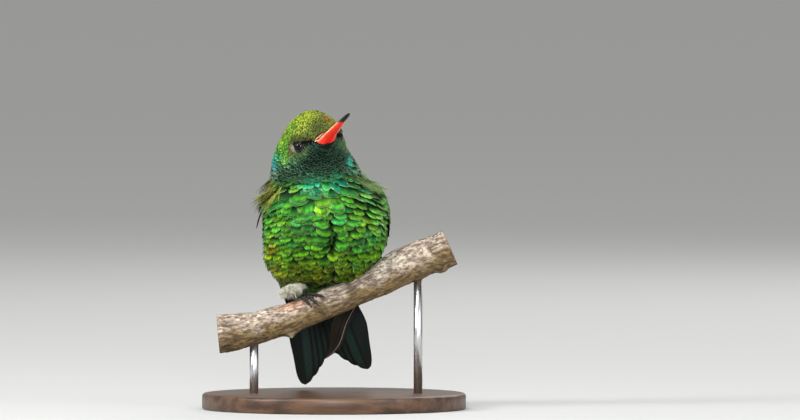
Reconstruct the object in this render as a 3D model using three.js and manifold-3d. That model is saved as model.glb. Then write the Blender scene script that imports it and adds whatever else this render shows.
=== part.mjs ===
// A life-size glittering-bellied emerald, a small hummingbird, as a still museum model.
// It grips a short cut length of branch that two thin rods carry above a round base.
// Millimetres. +Z is up, the bird faces -Y, and +X is the bird's left side.
// The origin is the centre of the base's underside.
import * as THREE from "three";
import Module from "manifold-3d";

const wasm = await Module();
wasm.setup();

const DEG = Math.PI / 180;
const GAP = 0.3; // air left between neighbouring pieces

// ---- Driving sizes -------------------------------------------------------------------

// Where each station of the body stands, from the bill's base to the tail's root.
// The back and front columns are outline points in the bird's own middle plane: how far
// forward of the perch, then how high. halfWidth is half the breadth, wide tells how far
// up from the front outline the broadest line runs, and across is the middle's own X.
const BODY_COLUMNS = ["backF", "backZ", "frontF", "frontZ", "halfWidth", "wide", "across"];
const BODY_STATIONS = [
  [15.2, 69.1, 16.1, 66.6, 1.9, 0.5, -5.3], // bill base
  [13.7, 71.7, 16.0, 64.9, 4.3, 0.5, -5.9], // forehead and chin
  [11.0, 74.0, 15.4, 63.2, 6.1, 0.5, -6.2], // over the eyes
  [7.2, 75.1, 14.8, 61.7, 7.2, 0.5, -6.0], // crown
  [3.2, 74.0, 14.4, 60.3, 7.9, 0.48, -5.6], // hind crown
  [0.0, 70.8, 14.1, 59.0, 8.7, 0.47, -5.3], // back of the head
  [-2.0, 66.4, 13.9, 57.6, 9.9, 0.46, -5.0], // nape and throat
  [-4.2, 61.4, 13.9, 55.6, 11.5, 0.46, -4.3], // neck
  [-7.6, 56.4, 14.4, 52.6, 13.8, 0.48, -2.9], // mantle and upper breast
  [-11.3, 51.2, 14.6, 48.2, 15.4, 0.48, -2.0], // shoulders and breast
  [-13.8, 45.6, 13.6, 43.4, 15.7, 0.46, -2.0], // back and belly
  [-14.9, 40.4, 11.2, 38.8, 15.2, 0.44, -2.5], // lower back
  [-14.9, 36.4, 7.6, 34.8, 13.0, 0.42, -3.9], // rump and lower belly
  [-14.4, 33.6, 2.6, 31.8, 8.8, 0.42, -5.2], // over the perch
  [-14.2, 31.0, -4.6, 29.6, 6.2, 0.45, -5.5], // vent
  [-14.9, 28.2, -8.6, 26.4, 4.9, 0.5, -4.6], // tail coverts' end
];
const NECK_FROM = 6.0; // station where the head is cut from the neck
const NECK_TO = 7.9; // station where the neck is cut from the trunk
const COVERTS_FROM = 13.4; // station where the tail coverts begin
const LAST_STATION = BODY_STATIONS.length - 1;
const CUT = 0.03; // half of a thin cut, in stations

// The head looks up and round to the bird's left, and is tipped with its left side up.
const HEAD_TURN = 21.5 * DEG;
const HEAD_ROLL = 11 * DEG;
const HEAD_PIVOT_F = 7.5;
const TURN_FADES = [5.0, 9.5]; // stations between which the turn and tip fade out
const TAIL_LEAN = 14 * DEG; // the tail leans with its left side up
const LEAN_GROWS = [11.5, 14.5];

const BILL_LENGTH = 17.6;
const BILL_STARTS = 0.5; // clear of the face
const BILL_RISE = 22.2 * DEG;
const BILL_HALF_WIDTH = 2.22;
const BILL_TIP_HALF_WIDTH = 0.72; // before the tip is rounded off
const BILL_CORNER_FLARE = 0.4; // extra half width at the corners of the mouth
const BILL_DEPTH_RATIO = { upper: 0.34, lower: 0.52 }; // depth over half width
const MOUTH_GAP = 0.3;

const EYE_RADIUS = 1.85;
const EYE_SUNK = 1.5; // how far the eye's middle lies below the head's surface
// Station on the head, and degrees round it from the chin's middle line.
const EYE_PLACES = { left: [2.3, 80], right: [1.95, -73] };

const TAIL_DIRECTION = new THREE.Vector3(0.224, 0.38, -0.897).normalize();
const TAIL_SIDE = new THREE.Vector3(0.97, 0, 0.242).normalize();
const TAIL_BACK = new THREE.Vector3().crossVectors(TAIL_SIDE, TAIL_DIRECTION).normalize();
const TAIL_ROOT = new THREE.Vector3(-4.3, 11.9, 27.0);
const TAIL_FEATHERS = 5; // on each side
const TAIL_LENGTHS = [14.6, 16.4, 18.4, 20.1, 21.4]; // below the coverts, middle to outer
const TAIL_FAN = [0.4, 1.9, 3.5, 5.2, 6.8].map((a) => a * DEG);
const TAIL_SPACING = 1.05; // between shafts at the root
const TAIL_FIRST_SHAFT = 1.3;
const TAIL_HALF_WIDTH = 2.9;
const TAIL_ROOT_HALF_WIDTH = 2.3;
const TAIL_OUTER_VANE = 0.72; // breadth of the outer vane over the inner one, near the tip
const TAIL_SPREAD_VANE = 0.5; // how much broader the outermost left vane is at its root
const TAIL_THICKNESS = 0.5;
const TAIL_PITCH = 0.82; // between neighbouring feathers, front to back

const PERCH_RADIUS = 3.75; // at its thinnest, under the bird
const PERCH_SWELLING = 0.0012; // radius gained for each square millimetre off the middle
const PERCH_MIDDLE_Z = 27.1; // the perch's own axis above the origin
const PERCH_SLOPE = 0.43; // rise over run at the middle
const PERCH_BEND = [0.003, -0.000065]; // of the axis upwards, by x squared and x cubed
const PERCH_ENDS = [-29, 29];

// The feet: where each stands along the perch, the angle round it at which the toes meet,
// and for each toe where it ends, first along the perch and then round it in degrees.
const TOE_RADIUS = 0.42;
const CLAW_RADIUS = 0.22;
const FEET = {
  right: { stands: -5.4, meets: 76, toes: [[-5.9, 178], [-5.3, 8], [-3.5, 2], [-1.5, 24]] },
  left: { stands: 4.5, meets: 104, toes: [[4.9, 196], [3.0, 56], [4.4, 50], [5.7, 58]] },
};
const TARSUS_RADIUS = 0.5;
const TARSUS_TOPS = { right: [-8.4, -0.6, 30.9], left: [3.4, 1.0, 36.2] };
const THIGHS = {
  right: { middle: [-10.6, -0.8, 30.2], radii: [3.8, 3.0, 2.2] },
  left: { middle: [1.4, 1.2, 36.0], radii: [3.2, 2.7, 2.0] },
};

// The wings. Each row is a station from the wrist to the tip: the leading edge, then the
// trailing edge. A pair of numbers lies on the body, as a station and an angle in degrees
// round it; three numbers are a point in the part's frame.
const WINGS = {
  left: [
    [[8.2, 74], [8.0, 96]],
    [[9.2, 86], [8.9, 124]],
    [[10.2, 96], [9.9, 140]],
    [[11.1, 106], [11.0, 150]],
    [[12.3, 6.9, 35.8], [5.6, 13.6, 37.4]],
    [[7.9, 8.1, 28.2], [2.6, 9.2, 28.8]],
    [[4.2, 9.9, 21.4], [-1.7, 10.2, 22.0]],
    [[1.9, 12.4, 15.4], [-3.6, 12.7, 15.0]],
    [[-3.0, 14.9, 11.2], [-3.6, 14.8, 11.4]],
  ],
  right: [
    [[8.2, 74], [8.0, 96]],
    [[9.2, 86], [8.9, 124]],
    [[10.2, 96], [9.9, 140]],
    [[11.1, 106], [11.0, 150]],
    [[-15.6, 8.6, 34.8], [-9.6, 15.8, 37.2]],
    [[-13.0, 13.6, 27.8], [-7.4, 17.6, 29.4]],
    [[-10.6, 17.4, 21.0], [-5.2, 19.6, 22.0]],
    [[-8.2, 20.2, 15.4], [-3.8, 21.3, 15.6]],
    [[-4.4, 22.2, 11.0], [-4.0, 22.3, 11.2]],
  ],
};
const WING_THICKNESS = [1.0, 0.55]; // at the wrist and at the tip
const WING_BULGE = [1.5, 0.5]; // of its middle out of the line between its edges
const WING_LIFT = -0.15; // of its middle off the body
const ARM_ENDS = 0.2; // share of the wing's length
const SECONDARIES_END = 0.46;
const PRIMARIES_SPREAD = [0.4, 0.56]; // where they widen to the whole of the wing
const ROW_SPLIT = 0.1; // share of the breadth left between the two rows of quills

const BASE_RADIUS = 33;
const BASE_THICKNESS = 4;
const BASE_EDGE = 0.8;
const ROD_RADIUS = 1.1;
const ROD_X = [-20, 21];
const ROD_SEAT = 2.6; // how deep a rod sits in the base and in the perch

// ---- Small helpers -------------------------------------------------------------------

const vec = (x, y, z) => new THREE.Vector3(x, y, z);
const mix = (a, b, t) => a + (b - a) * t;

function smoothStep(from, to, x) {
  const t = Math.min(1, Math.max(0, (x - from) / (to - from)));
  return t * t * (3 - 2 * t);
}

// A smooth curve through values that stand one apart: each span is a cubic whose end
// slopes are half the difference of the neighbouring values.
function through(values, at) {
  const last = values.length - 1;
  const i = Math.min(last - 1, Math.max(0, Math.floor(at)));
  const t = at - i;
  const a = values[i];
  const b = values[i + 1];
  const slopeA = i > 0 ? (b - values[i - 1]) / 2 : b - a;
  const slopeB = i + 2 <= last ? (values[i + 2] - a) / 2 : b - a;
  const t2 = t * t;
  const t3 = t2 * t;
  return (
    a * (2 * t3 - 3 * t2 + 1) +
    slopeA * (t3 - 2 * t2 + t) +
    b * (3 * t2 - 2 * t3) +
    slopeB * (t3 - t2)
  );
}

// ---- Closed solids from grids --------------------------------------------------------

function solid(points, faces) {
  const vertProperties = new Float32Array(points.length * 3);
  points.forEach((p, i) => vertProperties.set([p.x, p.y, p.z], i * 3));
  const triVerts = new Uint32Array(faces.flat());
  const made = new wasm.Manifold(new wasm.Mesh({ numProp: 3, vertProperties, triVerts }));
  if (made.volume() >= 0) {
    return made;
  }
  const turned = new Uint32Array(faces.map(([a, b, c]) => [a, c, b]).flat());
  return new wasm.Manifold(new wasm.Mesh({ numProp: 3, vertProperties, triVerts: turned }));
}

// Rings of points joined into a closed body. ring(s, t) gives the point at share s along
// the body and share t round it. Each end closes on the middle of its ring.
function lofted(ring, along, around) {
  const points = [];
  const faces = [];
  for (let i = 0; i <= along; i++) {
    for (let j = 0; j < around; j++) {
      points.push(ring(i / along, j / around));
    }
  }
  for (let i = 0; i < along; i++) {
    for (let j = 0; j < around; j++) {
      const a = i * around + j;
      const b = i * around + ((j + 1) % around);
      faces.push([a, b, b + around]);
      faces.push([a, b + around, a + around]);
    }
  }
  for (const row of [0, along]) {
    const first = row * around;
    const middle = vec(0, 0, 0);
    for (let j = 0; j < around; j++) {
      middle.addScaledVector(points[first + j], 1 / around);
    }
    points.push(middle);
    for (let j = 0; j < around; j++) {
      const a = first + j;
      const b = first + ((j + 1) % around);
      faces.push(row === 0 ? [points.length - 1, b, a] : [points.length - 1, a, b]);
    }
  }
  return solid(points, faces);
}

// A curved plate: face(s, t, side) gives its point at share s along and t across, with
// side -1 for the inner face and +1 for the outer face.
function plate(face, along, across) {
  const points = [];
  const faces = [];
  const row = across + 1;
  const sheet = (along + 1) * row;
  for (const side of [-1, 1]) {
    for (let i = 0; i <= along; i++) {
      for (let j = 0; j <= across; j++) {
        points.push(face(i / along, j / across, side));
      }
    }
  }
  for (let i = 0; i < along; i++) {
    for (let j = 0; j < across; j++) {
      const a = i * row + j;
      faces.push([a, a + row, a + row + 1], [a, a + row + 1, a + 1]);
      const b = a + sheet;
      faces.push([b, b + row + 1, b + row], [b, b + 1, b + row + 1]);
    }
  }
  const edge = [];
  for (let j = 0; j < across; j++) edge.push(j);
  for (let i = 0; i < along; i++) edge.push(i * row + across);
  for (let j = across; j > 0; j--) edge.push(along * row + j);
  for (let i = along; i > 0; i--) edge.push(i * row);
  edge.forEach((a, k) => {
    const b = edge[(k + 1) % edge.length];
    faces.push([a, b, b + sheet], [a, b + sheet, a + sheet]);
  });
  return solid(points, faces);
}

// A ball or egg: radii are along X, Y and Z before it is turned.
function egg(middle, radii, turn = new THREE.Quaternion(), along = 12, around = 16) {
  return lofted(
    (s, t) => {
      const up = (mix(0.03, 0.97, s) - 0.5) * Math.PI;
      const round = t * 2 * Math.PI;
      const p = vec(Math.cos(up) * Math.cos(round), Math.cos(up) * Math.sin(round), Math.sin(up));
      return p.multiply(radii).applyQuaternion(turn).add(middle);
    },
    along,
    around,
  );
}

// A round bar along a line of points, with its radius given at each share of its length.
function bar(path, radius, along = 12, around = 8) {
  return lofted(
    (s, t) => {
      const here = path(s);
      const ahead = path(Math.min(1, s + 0.01));
      const behind = path(Math.max(0, s - 0.01));
      const tangent = ahead.sub(behind).normalize();
      const side = vec(0, 0, 1).cross(tangent);
      if (side.length() < 0.2) side.set(1, 0, 0).cross(tangent);
      side.normalize();
      const up = vec(0, 0, 0).crossVectors(tangent, side);
      const a = t * 2 * Math.PI;
      return here
        .clone()
        .addScaledVector(side, Math.cos(a) * radius(s))
        .addScaledVector(up, Math.sin(a) * radius(s));
    },
    along,
    around,
  );
}

// ---- The body's surface --------------------------------------------------------------

const bodyColumn = (name, at) => {
  const k = BODY_COLUMNS.indexOf(name);
  return through(BODY_STATIONS.map((row) => row[k]), at);
};

function headShare(at) {
  return 1 - smoothStep(TURN_FADES[0], TURN_FADES[1], at);
}

// A point given in the bird's own middle plane at a station, placed in the part's frame.
function placed(at, side, forward, height) {
  const middleZ = mix(bodyColumn("frontZ", at), bodyColumn("backZ", at), 0.5);
  const roll = HEAD_ROLL * headShare(at) + TAIL_LEAN * smoothStep(...LEAN_GROWS, at);
  const turn = HEAD_TURN * headShare(at);
  const up = height - middleZ;
  const rolledSide = side * Math.cos(roll) - up * Math.sin(roll);
  const rolledUp = up * Math.cos(roll) + side * Math.sin(roll);
  const ahead = forward - HEAD_PIVOT_F;
  return vec(
    bodyColumn("across", at) + rolledSide * Math.cos(turn) + ahead * Math.sin(turn),
    -(HEAD_PIVOT_F + ahead * Math.cos(turn) - rolledSide * Math.sin(turn)),
    middleZ + rolledUp,
  );
}

// The surface at a station and an angle round the body: 0 is the middle of the breast,
// a quarter turn is the bird's left side and a half turn is the middle of the back.
function bodyPoint(at, angle) {
  const front = [bodyColumn("frontF", at), bodyColumn("frontZ", at)];
  const back = [bodyColumn("backF", at), bodyColumn("backZ", at)];
  const wide = bodyColumn("wide", at);
  const rise = -Math.cos(angle);
  const share = wide + rise * (rise < 0 ? wide : 1 - wide);
  return placed(
    at,
    bodyColumn("halfWidth", at) * Math.sin(angle),
    mix(front[0], back[0], share),
    mix(front[1], back[1], share),
  );
}

function bodyNormal(at, angle) {
  const step = 0.01;
  const along = bodyPoint(at + step, angle).sub(bodyPoint(at - step, angle));
  const round = bodyPoint(at, angle + step).sub(bodyPoint(at, angle - step));
  return along.cross(round).normalize();
}

function bodyPiece(from, to, along, around) {
  return lofted((s, t) => bodyPoint(mix(from, to, s), t * 2 * Math.PI), along, around);
}

// ---- Bill ----------------------------------------------------------------------------

const billBase = placed(0, 0, 15.6, 68.15).add(vec(0.25, 0, 0));
const billForward = vec(
  Math.cos(BILL_RISE) * Math.sin(HEAD_TURN),
  -Math.cos(BILL_RISE) * Math.cos(HEAD_TURN),
  Math.sin(BILL_RISE),
);
const levelSide = vec(Math.cos(HEAD_TURN), Math.sin(HEAD_TURN), 0);
const levelUp = vec(0, 0, 0).crossVectors(billForward, levelSide);
const billSide = levelSide
  .clone()
  .multiplyScalar(Math.cos(HEAD_ROLL))
  .addScaledVector(levelUp, Math.sin(HEAD_ROLL));
const billUp = vec(0, 0, 0).crossVectors(billForward, billSide);

function billHalfWidth(s) {
  const taper = (BILL_HALF_WIDTH - BILL_TIP_HALF_WIDTH) * (1 - s) ** 1.15;
  const rounded = Math.sqrt(1 - 0.85 * Math.max(0, (s - 0.88) / 0.12) ** 2);
  return (BILL_TIP_HALF_WIDTH + taper + BILL_CORNER_FLARE * Math.exp(-s / 0.06)) * rounded;
}

// One half of the bill: upper is +1 for the upper half and -1 for the lower one.
function billHalf(upper) {
  const length = upper > 0 ? BILL_LENGTH : BILL_LENGTH - 0.25;
  const depth = upper > 0 ? BILL_DEPTH_RATIO.upper : BILL_DEPTH_RATIO.lower;
  return lofted(
    (s, t) => {
      const a = t * 2 * Math.PI;
      const wide = billHalfWidth(s) * (upper > 0 ? 0.92 : 1);
      const round = Math.sin(a) > 0 ? Math.sin(a) : Math.sin(a) * 0.12;
      const opening = MOUTH_GAP / 2 + 0.06 * wide;
      return billBase
        .clone()
        .addScaledVector(billForward, mix(BILL_STARTS, length, s))
        .addScaledVector(billSide, Math.cos(a) * wide)
        .addScaledVector(billUp, upper * (opening + round * wide * depth));
    },
    8,
    10,
  );
}

// ---- Eyes ----------------------------------------------------------------------------

const eyeMiddle = ([at, degrees]) =>
  bodyPoint(at, degrees * DEG).addScaledVector(bodyNormal(at, degrees * DEG), -EYE_SUNK);
const ball = (middle, radius) => egg(middle, vec(radius, radius, radius), undefined, 9, 14);

// ---- Tail ----------------------------------------------------------------------------

// One tail feather: number 0 is the middle one, side is +1 on the bird's left.
function tailFeather(number, side) {
  const length = TAIL_LENGTHS[number];
  const fan = TAIL_FAN[number];
  const shaftRoot = TAIL_FIRST_SHAFT + TAIL_SPACING * number;
  const depth = TAIL_PITCH * ((TAIL_FEATHERS - 1) / 2 - number);
  const halfWidth = (s) => {
    const grown = mix(TAIL_ROOT_HALF_WIDTH, TAIL_HALF_WIDTH, smoothStep(0, 0.45, s));
    const rounded = Math.sqrt(Math.max(0, 1 - Math.max(0, (s - 0.72) / 0.28) ** 2.4));
    return Math.max(0.35, grown * rounded);
  };
  const spread = number === TAIL_FEATHERS - 1 && side > 0 ? TAIL_SPREAD_VANE : 0;
  const outerVane = (s) =>
    mix(1, TAIL_OUTER_VANE, smoothStep(0.2, 0.8, s)) + spread * (1 - smoothStep(0.35, 1, s));
  return plate(
    (s, t, face) => {
      const wide = halfWidth(s);
      const outward = shaftRoot + Math.sin(fan) * length * s + mix(-wide, wide * outerVane(s), t);
      const inside = GAP / 2 + 0.02 * t;
      const thin = TAIL_THICKNESS * 0.5;
      return TAIL_ROOT.clone()
        .addScaledVector(TAIL_DIRECTION, GAP + length * s * Math.cos(fan))
        .addScaledVector(TAIL_SIDE, side * Math.max(inside, outward))
        .addScaledVector(TAIL_BACK, depth + face * thin);
    },
    9,
    2,
  );
}

// ---- Wings ---------------------------------------------------------------------------

const WING_SIDES = { left: 1, right: -1 };

function wingStation(side, given) {
  if (given.length === 3) {
    return vec(...given);
  }
  return bodyPoint(given[0], side * given[1] * DEG);
}

const wingLines = Object.fromEntries(
  Object.entries(WINGS).map(([name, rows]) => [
    name,
    [0, 1].map((edge) => rows.map((row) => wingStation(WING_SIDES[name], row[edge]))),
  ]),
);

function onLine(line, s) {
  const at = s * (line.length - 1);
  return vec(...["x", "y", "z"].map((k) => through(line.map((p) => p[k]), at)));
}

// The wing between its edges: share s from the wrist to the tip, share t from the leading
// to the trailing edge, lifted from its middle surface.
function wingPoint(name, s, t, lift) {
  const [leading, trailing] = wingLines[name];
  const step = 0.01;
  const along = onLine(leading, s + step)
    .add(onLine(trailing, s + step))
    .sub(onLine(leading, s - step))
    .sub(onLine(trailing, s - step));
  const across = onLine(trailing, s).sub(onLine(leading, s));
  const out = along.cross(across).normalize().multiplyScalar(WING_SIDES[name]);
  const onBody = 1 - smoothStep(0.3, 0.5, s);
  const rise = mix(WING_BULGE[0], WING_BULGE[1], s) * Math.sin(Math.PI * t);
  return onLine(leading, s)
    .lerp(onLine(trailing, s), t)
    .addScaledVector(out, rise + WING_LIFT * onBody + lift);
}

const wingHalf = (s) => mix(WING_THICKNESS[0], WING_THICKNESS[1], s) / 2;
const primariesReach = (s) => mix(0.5, 1, smoothStep(...PRIMARIES_SPREAD, s));

// A piece of the wing. from and to bound it along the wing, and span(s) across it.
function wingPiece(name, from, to, span, along, across, room = 0) {
  return plate(
    (s, t, face) => {
      const at = mix(from, to, s);
      const [start, end] = span(at);
      return wingPoint(name, at, mix(start, end, t), face * (wingHalf(at) + room));
    },
    along,
    across,
  );
}

// ---- Legs and feet -------------------------------------------------------------------

function thigh(name, room = 0) {
  const { middle, radii } = THIGHS[name];
  const tilt = new THREE.Quaternion().setFromAxisAngle(vec(0, -1, 0), Math.atan(PERCH_SLOPE));
  return egg(vec(...middle), vec(...radii.map((r) => r + room)), tilt, 7, 12);
}

const footJoint = (name) =>
  perchPoint(FEET[name].stands, FEET[name].meets * DEG, TARSUS_RADIUS + 0.5);

function tarsus(name, room = 0) {
  const foot = footJoint(name);
  const top = vec(...TARSUS_TOPS[name]);
  const reach = room / foot.distanceTo(top);
  const path = (s) => foot.clone().lerp(top, mix(-reach, 1 + reach, s));
  return bar(path, () => TARSUS_RADIUS + room, 1, 8);
}

// One toe lies along the bark from near the joint, and its claw hooks down at the end.
function toe(name, number, room = 0) {
  const { stands, meets, toes } = FEET[name];
  const [endX, endAngle] = toes[number];
  const turn = Math.sign(endAngle - meets);
  const startAngle = meets + turn * (number === 0 ? 16 : 12);
  const spread = number === 0 ? 0 : number - 2;
  const reach = room / 4;
  return bar(
    (share) => {
      const s = mix(-reach, 1 + reach, share);
      const x = mix(stands + spread, endX, s);
      const angle = mix(startAngle, endAngle, s) * DEG;
      const knuckle = 0.12 * Math.abs(Math.sin(s * 3 * Math.PI));
      const claw = 0.55 * Math.sin(Math.PI * Math.min(1, Math.max(0, (s - 0.72) / 0.28)));
      return perchPoint(x, angle, GAP + TOE_RADIUS + knuckle + claw * 0.6);
    },
    (s) => room + mix(TOE_RADIUS, CLAW_RADIUS, smoothStep(0.6, 0.95, s)),
    8,
    6,
  );
}

// ---- Perch and stand -----------------------------------------------------------------

const perchAxisZ = (x) =>
  PERCH_MIDDLE_Z + PERCH_SLOPE * x + PERCH_BEND[0] * x ** 2 + PERCH_BEND[1] * x ** 3;
const perchSlopeAt = (x) => PERCH_SLOPE + 2 * PERCH_BEND[0] * x + 3 * PERCH_BEND[1] * x ** 2;

function perchRadius(x, angle) {
  const knot = 0.5 * Math.exp(-(((x + 12.2) / 1.6) ** 2)) * Math.max(0, -Math.sin(angle)) ** 3;
  const spur = 0.7 * Math.exp(-(((x - 25.2) / 1.3) ** 2)) * Math.max(0, -Math.sin(angle)) ** 3;
  const swollen = 0.9 * Math.exp(-(((x - 18) / 6) ** 2)) * Math.max(0, Math.sin(angle)) ** 2;
  const waves = 0.12 * Math.sin(x * 0.31 + 2 * angle) + 0.08 * Math.sin(x * 0.83 - 3 * angle);
  const grip = 1 - 0.9 * Math.exp(-((x / 9) ** 2));
  return PERCH_RADIUS + PERCH_SWELLING * x * x + knot + spur + swollen + waves * grip;
}

// A point beside the perch's axis at x, at an angle round it: 0 faces -Y and a quarter
// turn faces up. It is lifted clear of the bark.
function perchPoint(x, angle, lift = 0) {
  const up = vec(-perchSlopeAt(x), 0, 1).normalize();
  const r = perchRadius(x, angle) + lift;
  return vec(x, -Math.cos(angle) * r, perchAxisZ(x)).addScaledVector(up, Math.sin(angle) * r);
}

function perchBody(lift, along = 20, around = 16) {
  return lofted(
    (s, t) => perchPoint(mix(PERCH_ENDS[0], PERCH_ENDS[1], s), t * 2 * Math.PI, lift),
    along,
    around,
  );
}

function upright(x, fromZ, toZ, radius, around = 16) {
  return lofted(
    (s, t) => {
      const a = t * 2 * Math.PI;
      return vec(x + Math.cos(a) * radius, Math.sin(a) * radius, mix(fromZ, toZ, s));
    },
    1,
    around,
  );
}

const perchUnderside = (x) =>
  perchAxisZ(x) - perchRadius(x, -Math.PI / 2) * Math.hypot(1, perchSlopeAt(x));

function standBase() {
  return lofted(
    (s, t) => {
      const rings = [
        [BASE_RADIUS, 0],
        [BASE_RADIUS, BASE_THICKNESS - BASE_EDGE],
        [BASE_RADIUS - BASE_EDGE, BASE_THICKNESS],
      ];
      const [r, z] = rings[Math.round(s * 2)];
      return vec(Math.cos(t * 2 * Math.PI) * r, Math.sin(t * 2 * Math.PI) * r, z);
    },
    2,
    44,
  );
}

// ---- Joining it all ------------------------------------------------------------------

const bird = new THREE.Group();
bird.name = "emerald_hummingbird";

function keep(name, made, colour, roughness, metalness = 0) {
  const mesh = made.getMesh();
  const geometry = new THREE.BufferGeometry();
  geometry.setAttribute("position", new THREE.BufferAttribute(mesh.vertProperties, 3));
  geometry.setIndex(new THREE.BufferAttribute(mesh.triVerts, 1));
  geometry.computeVertexNormals();
  const material = new THREE.MeshStandardMaterial({ color: colour, roughness, metalness });
  material.name = name;
  const node = new THREE.Mesh(geometry, material);
  node.name = name;
  bird.add(node);
}

const GREEN = "#2c8f3f";
const TEAL = "#1f6f5c";
const DUSKY = "#2b2620";
const STEEL_BLUE = "#15212b";
const BILL_RED = "#e8402f";
const BLACK = "#0b0b0c";
const WHITE = "#efece4";
const BARK = "#8f8171";
const DARK_WOOD = "#33241a";
const STEEL = "#a9adb0";

const around = 22;
const whole = () => [0, 1];
const perchRoom = perchBody(GAP);
const rooms = [perchRoom];
for (const name of ["left", "right"]) {
  rooms.push(wingPiece(name, -0.015, 1, () => [-0.04, 1.04], 16, 4, GAP));
  rooms.push(thigh(name, GAP));
  rooms.push(tarsus(name, GAP));
  for (let k = 0; k < 4; k++) rooms.push(toe(name, k, GAP * 1.5));
}

// Takes the neighbours' room out of a body and keeps its main piece.
function cleared(made) {
  const cut = rooms.reduce((left, room) => left.subtract(room), made);
  return cut.decompose().reduce((a, b) => (a.volume() > b.volume() ? a : b));
}

const eyes = { left: eyeMiddle(EYE_PLACES.left), right: eyeMiddle(EYE_PLACES.right) };
let head = bodyPiece(0, NECK_FROM - CUT, 12, around);
for (const middle of Object.values(eyes)) {
  head = head.subtract(ball(middle, EYE_RADIUS + GAP));
}
keep("head", head, GREEN, 0.45, 0.4);
keep("neck", bodyPiece(NECK_FROM + CUT, NECK_TO - CUT, 4, around), TEAL, 0.45, 0.4);
const trunk = bodyPiece(NECK_TO + CUT, COVERTS_FROM - CUT, 11, around);
keep("trunk", cleared(trunk), GREEN, 0.45, 0.4);
const coverts = bodyPiece(COVERTS_FROM + CUT, LAST_STATION, 3, around);
keep("tail_coverts", cleared(coverts), GREEN, 0.45, 0.4);
for (const name of ["left", "right"]) {
  keep(`wing_${name}_arm`, wingPiece(name, 0, ARM_ENDS - 0.01, whole, 4, 5), GREEN, 0.5, 0.2);
  const inner = (s) => [Math.min(0.93, primariesReach(s + 0.03) + ROW_SPLIT), 1];
  const outer = (s) => [0, primariesReach(s)];
  const secondaries = wingPiece(name, ARM_ENDS, SECONDARIES_END, inner, 6, 2);
  keep(`wing_${name}_secondaries`, secondaries, DUSKY, 0.6);
  keep(`wing_${name}_primaries`, wingPiece(name, ARM_ENDS, 1, outer, 13, 3), DUSKY, 0.6);
  keep(`thigh_${name}`, thigh(name).subtract(tarsus(name, GAP)), WHITE, 0.9);
  keep(`tarsus_${name}`, tarsus(name), BLACK, 0.5);
  for (let k = 0; k < 4; k++) {
    keep(`toe_${name}_${k + 1}`, toe(name, k), BLACK, 0.5);
  }
}
keep("bill_upper", billHalf(1), BILL_RED, 0.35);
keep("bill_lower", billHalf(-1), BILL_RED, 0.35);
for (const [name, middle] of Object.entries(eyes)) {
  keep("eye_" + name, ball(middle, EYE_RADIUS), BLACK, 0.06);
}
for (const [name, side] of [
  ["left", 1],
  ["right", -1],
]) {
  for (let k = 0; k < TAIL_FEATHERS; k++) {
    keep(`rectrix_${name}_${k + 1}`, tailFeather(k, side), STEEL_BLUE, 0.5);
  }
}

let perch = perchBody(0);
let base = standBase();
for (const [name, x] of [
  ["left", ROD_X[1]],
  ["right", ROD_X[0]],
]) {
  const bottom = BASE_THICKNESS - ROD_SEAT;
  const top = perchUnderside(x) + ROD_SEAT;
  const hole = upright(x, bottom - GAP, top + GAP, ROD_RADIUS + GAP);
  perch = perch.subtract(hole);
  base = base.subtract(hole);
  keep("stand_rod_" + name, upright(x, bottom, top, ROD_RADIUS), STEEL, 0.3, 1);
}
keep("perch", perch, BARK, 0.9);
keep("stand_base", base, DARK_WOOD, 0.5);

export default bird;
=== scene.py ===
# %% [markdown]
# # A perched hummingbird, life size
#
# This notebook dresses a small bird, a male glittering-bellied emerald, that a CAD model has
# already given its true size and outline. The solids carry the pose. What is made here is what
# the eye reads as a living bird: a skin, thousands of feathers that lie over each other like
# roof tiles, a wet eye, a waxy bill, scaly toes and rough bark.
#
# Every shape is a surface of two numbers, worked out for a whole grid at once with numpy and
# handed to Blender as one mesh.

# %% Load the frame
import math

import bpy
import numpy as np
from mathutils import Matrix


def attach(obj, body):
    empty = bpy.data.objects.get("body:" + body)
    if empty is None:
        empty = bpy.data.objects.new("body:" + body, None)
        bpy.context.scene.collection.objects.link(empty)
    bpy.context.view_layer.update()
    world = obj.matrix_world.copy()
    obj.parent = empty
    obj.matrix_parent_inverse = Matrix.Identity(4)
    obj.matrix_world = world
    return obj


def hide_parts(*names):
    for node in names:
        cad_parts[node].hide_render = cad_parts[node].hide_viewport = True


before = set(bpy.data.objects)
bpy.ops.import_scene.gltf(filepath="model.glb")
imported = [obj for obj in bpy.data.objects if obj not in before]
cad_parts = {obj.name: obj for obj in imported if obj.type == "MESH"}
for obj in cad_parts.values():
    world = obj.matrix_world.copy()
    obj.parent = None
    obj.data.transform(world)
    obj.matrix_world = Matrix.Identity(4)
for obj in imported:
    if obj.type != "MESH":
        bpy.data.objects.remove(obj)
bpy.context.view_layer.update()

MM = 0.001  # Blender works in metres, the numbers below are in millimetres
DEG = math.pi / 180
rng = np.random.default_rng(20)

# %% [markdown]
# ## The camera and the light
#
# A long lens from well away keeps a small subject free of perspective: its near and far parts
# are drawn at the same scale. The light is that of a north window: one broad soft source above
# the bird and to its front, weaker ones opposite and behind, and an even grey-white room.
# Feathers that shine like metal need something broad to mirror, so these are large. Two smaller
# lamps low at the front and the side are what the wet eye mirrors.

# %% Camera
VIEW_WIDTH = 200.0  # breadth of the frame at the bird
VIEW_DISTANCE = 5000.0
VIEW_TILT = 2.0 * DEG  # the camera looks down by this much
VIEW_CENTRE = (16.5, 0.0, 49.75)  # what the middle of the frame falls on
SENSOR = 36.0  # breadth of the film
CLIP = (0.5, 100.0)  # what the camera sees, in metres

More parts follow.
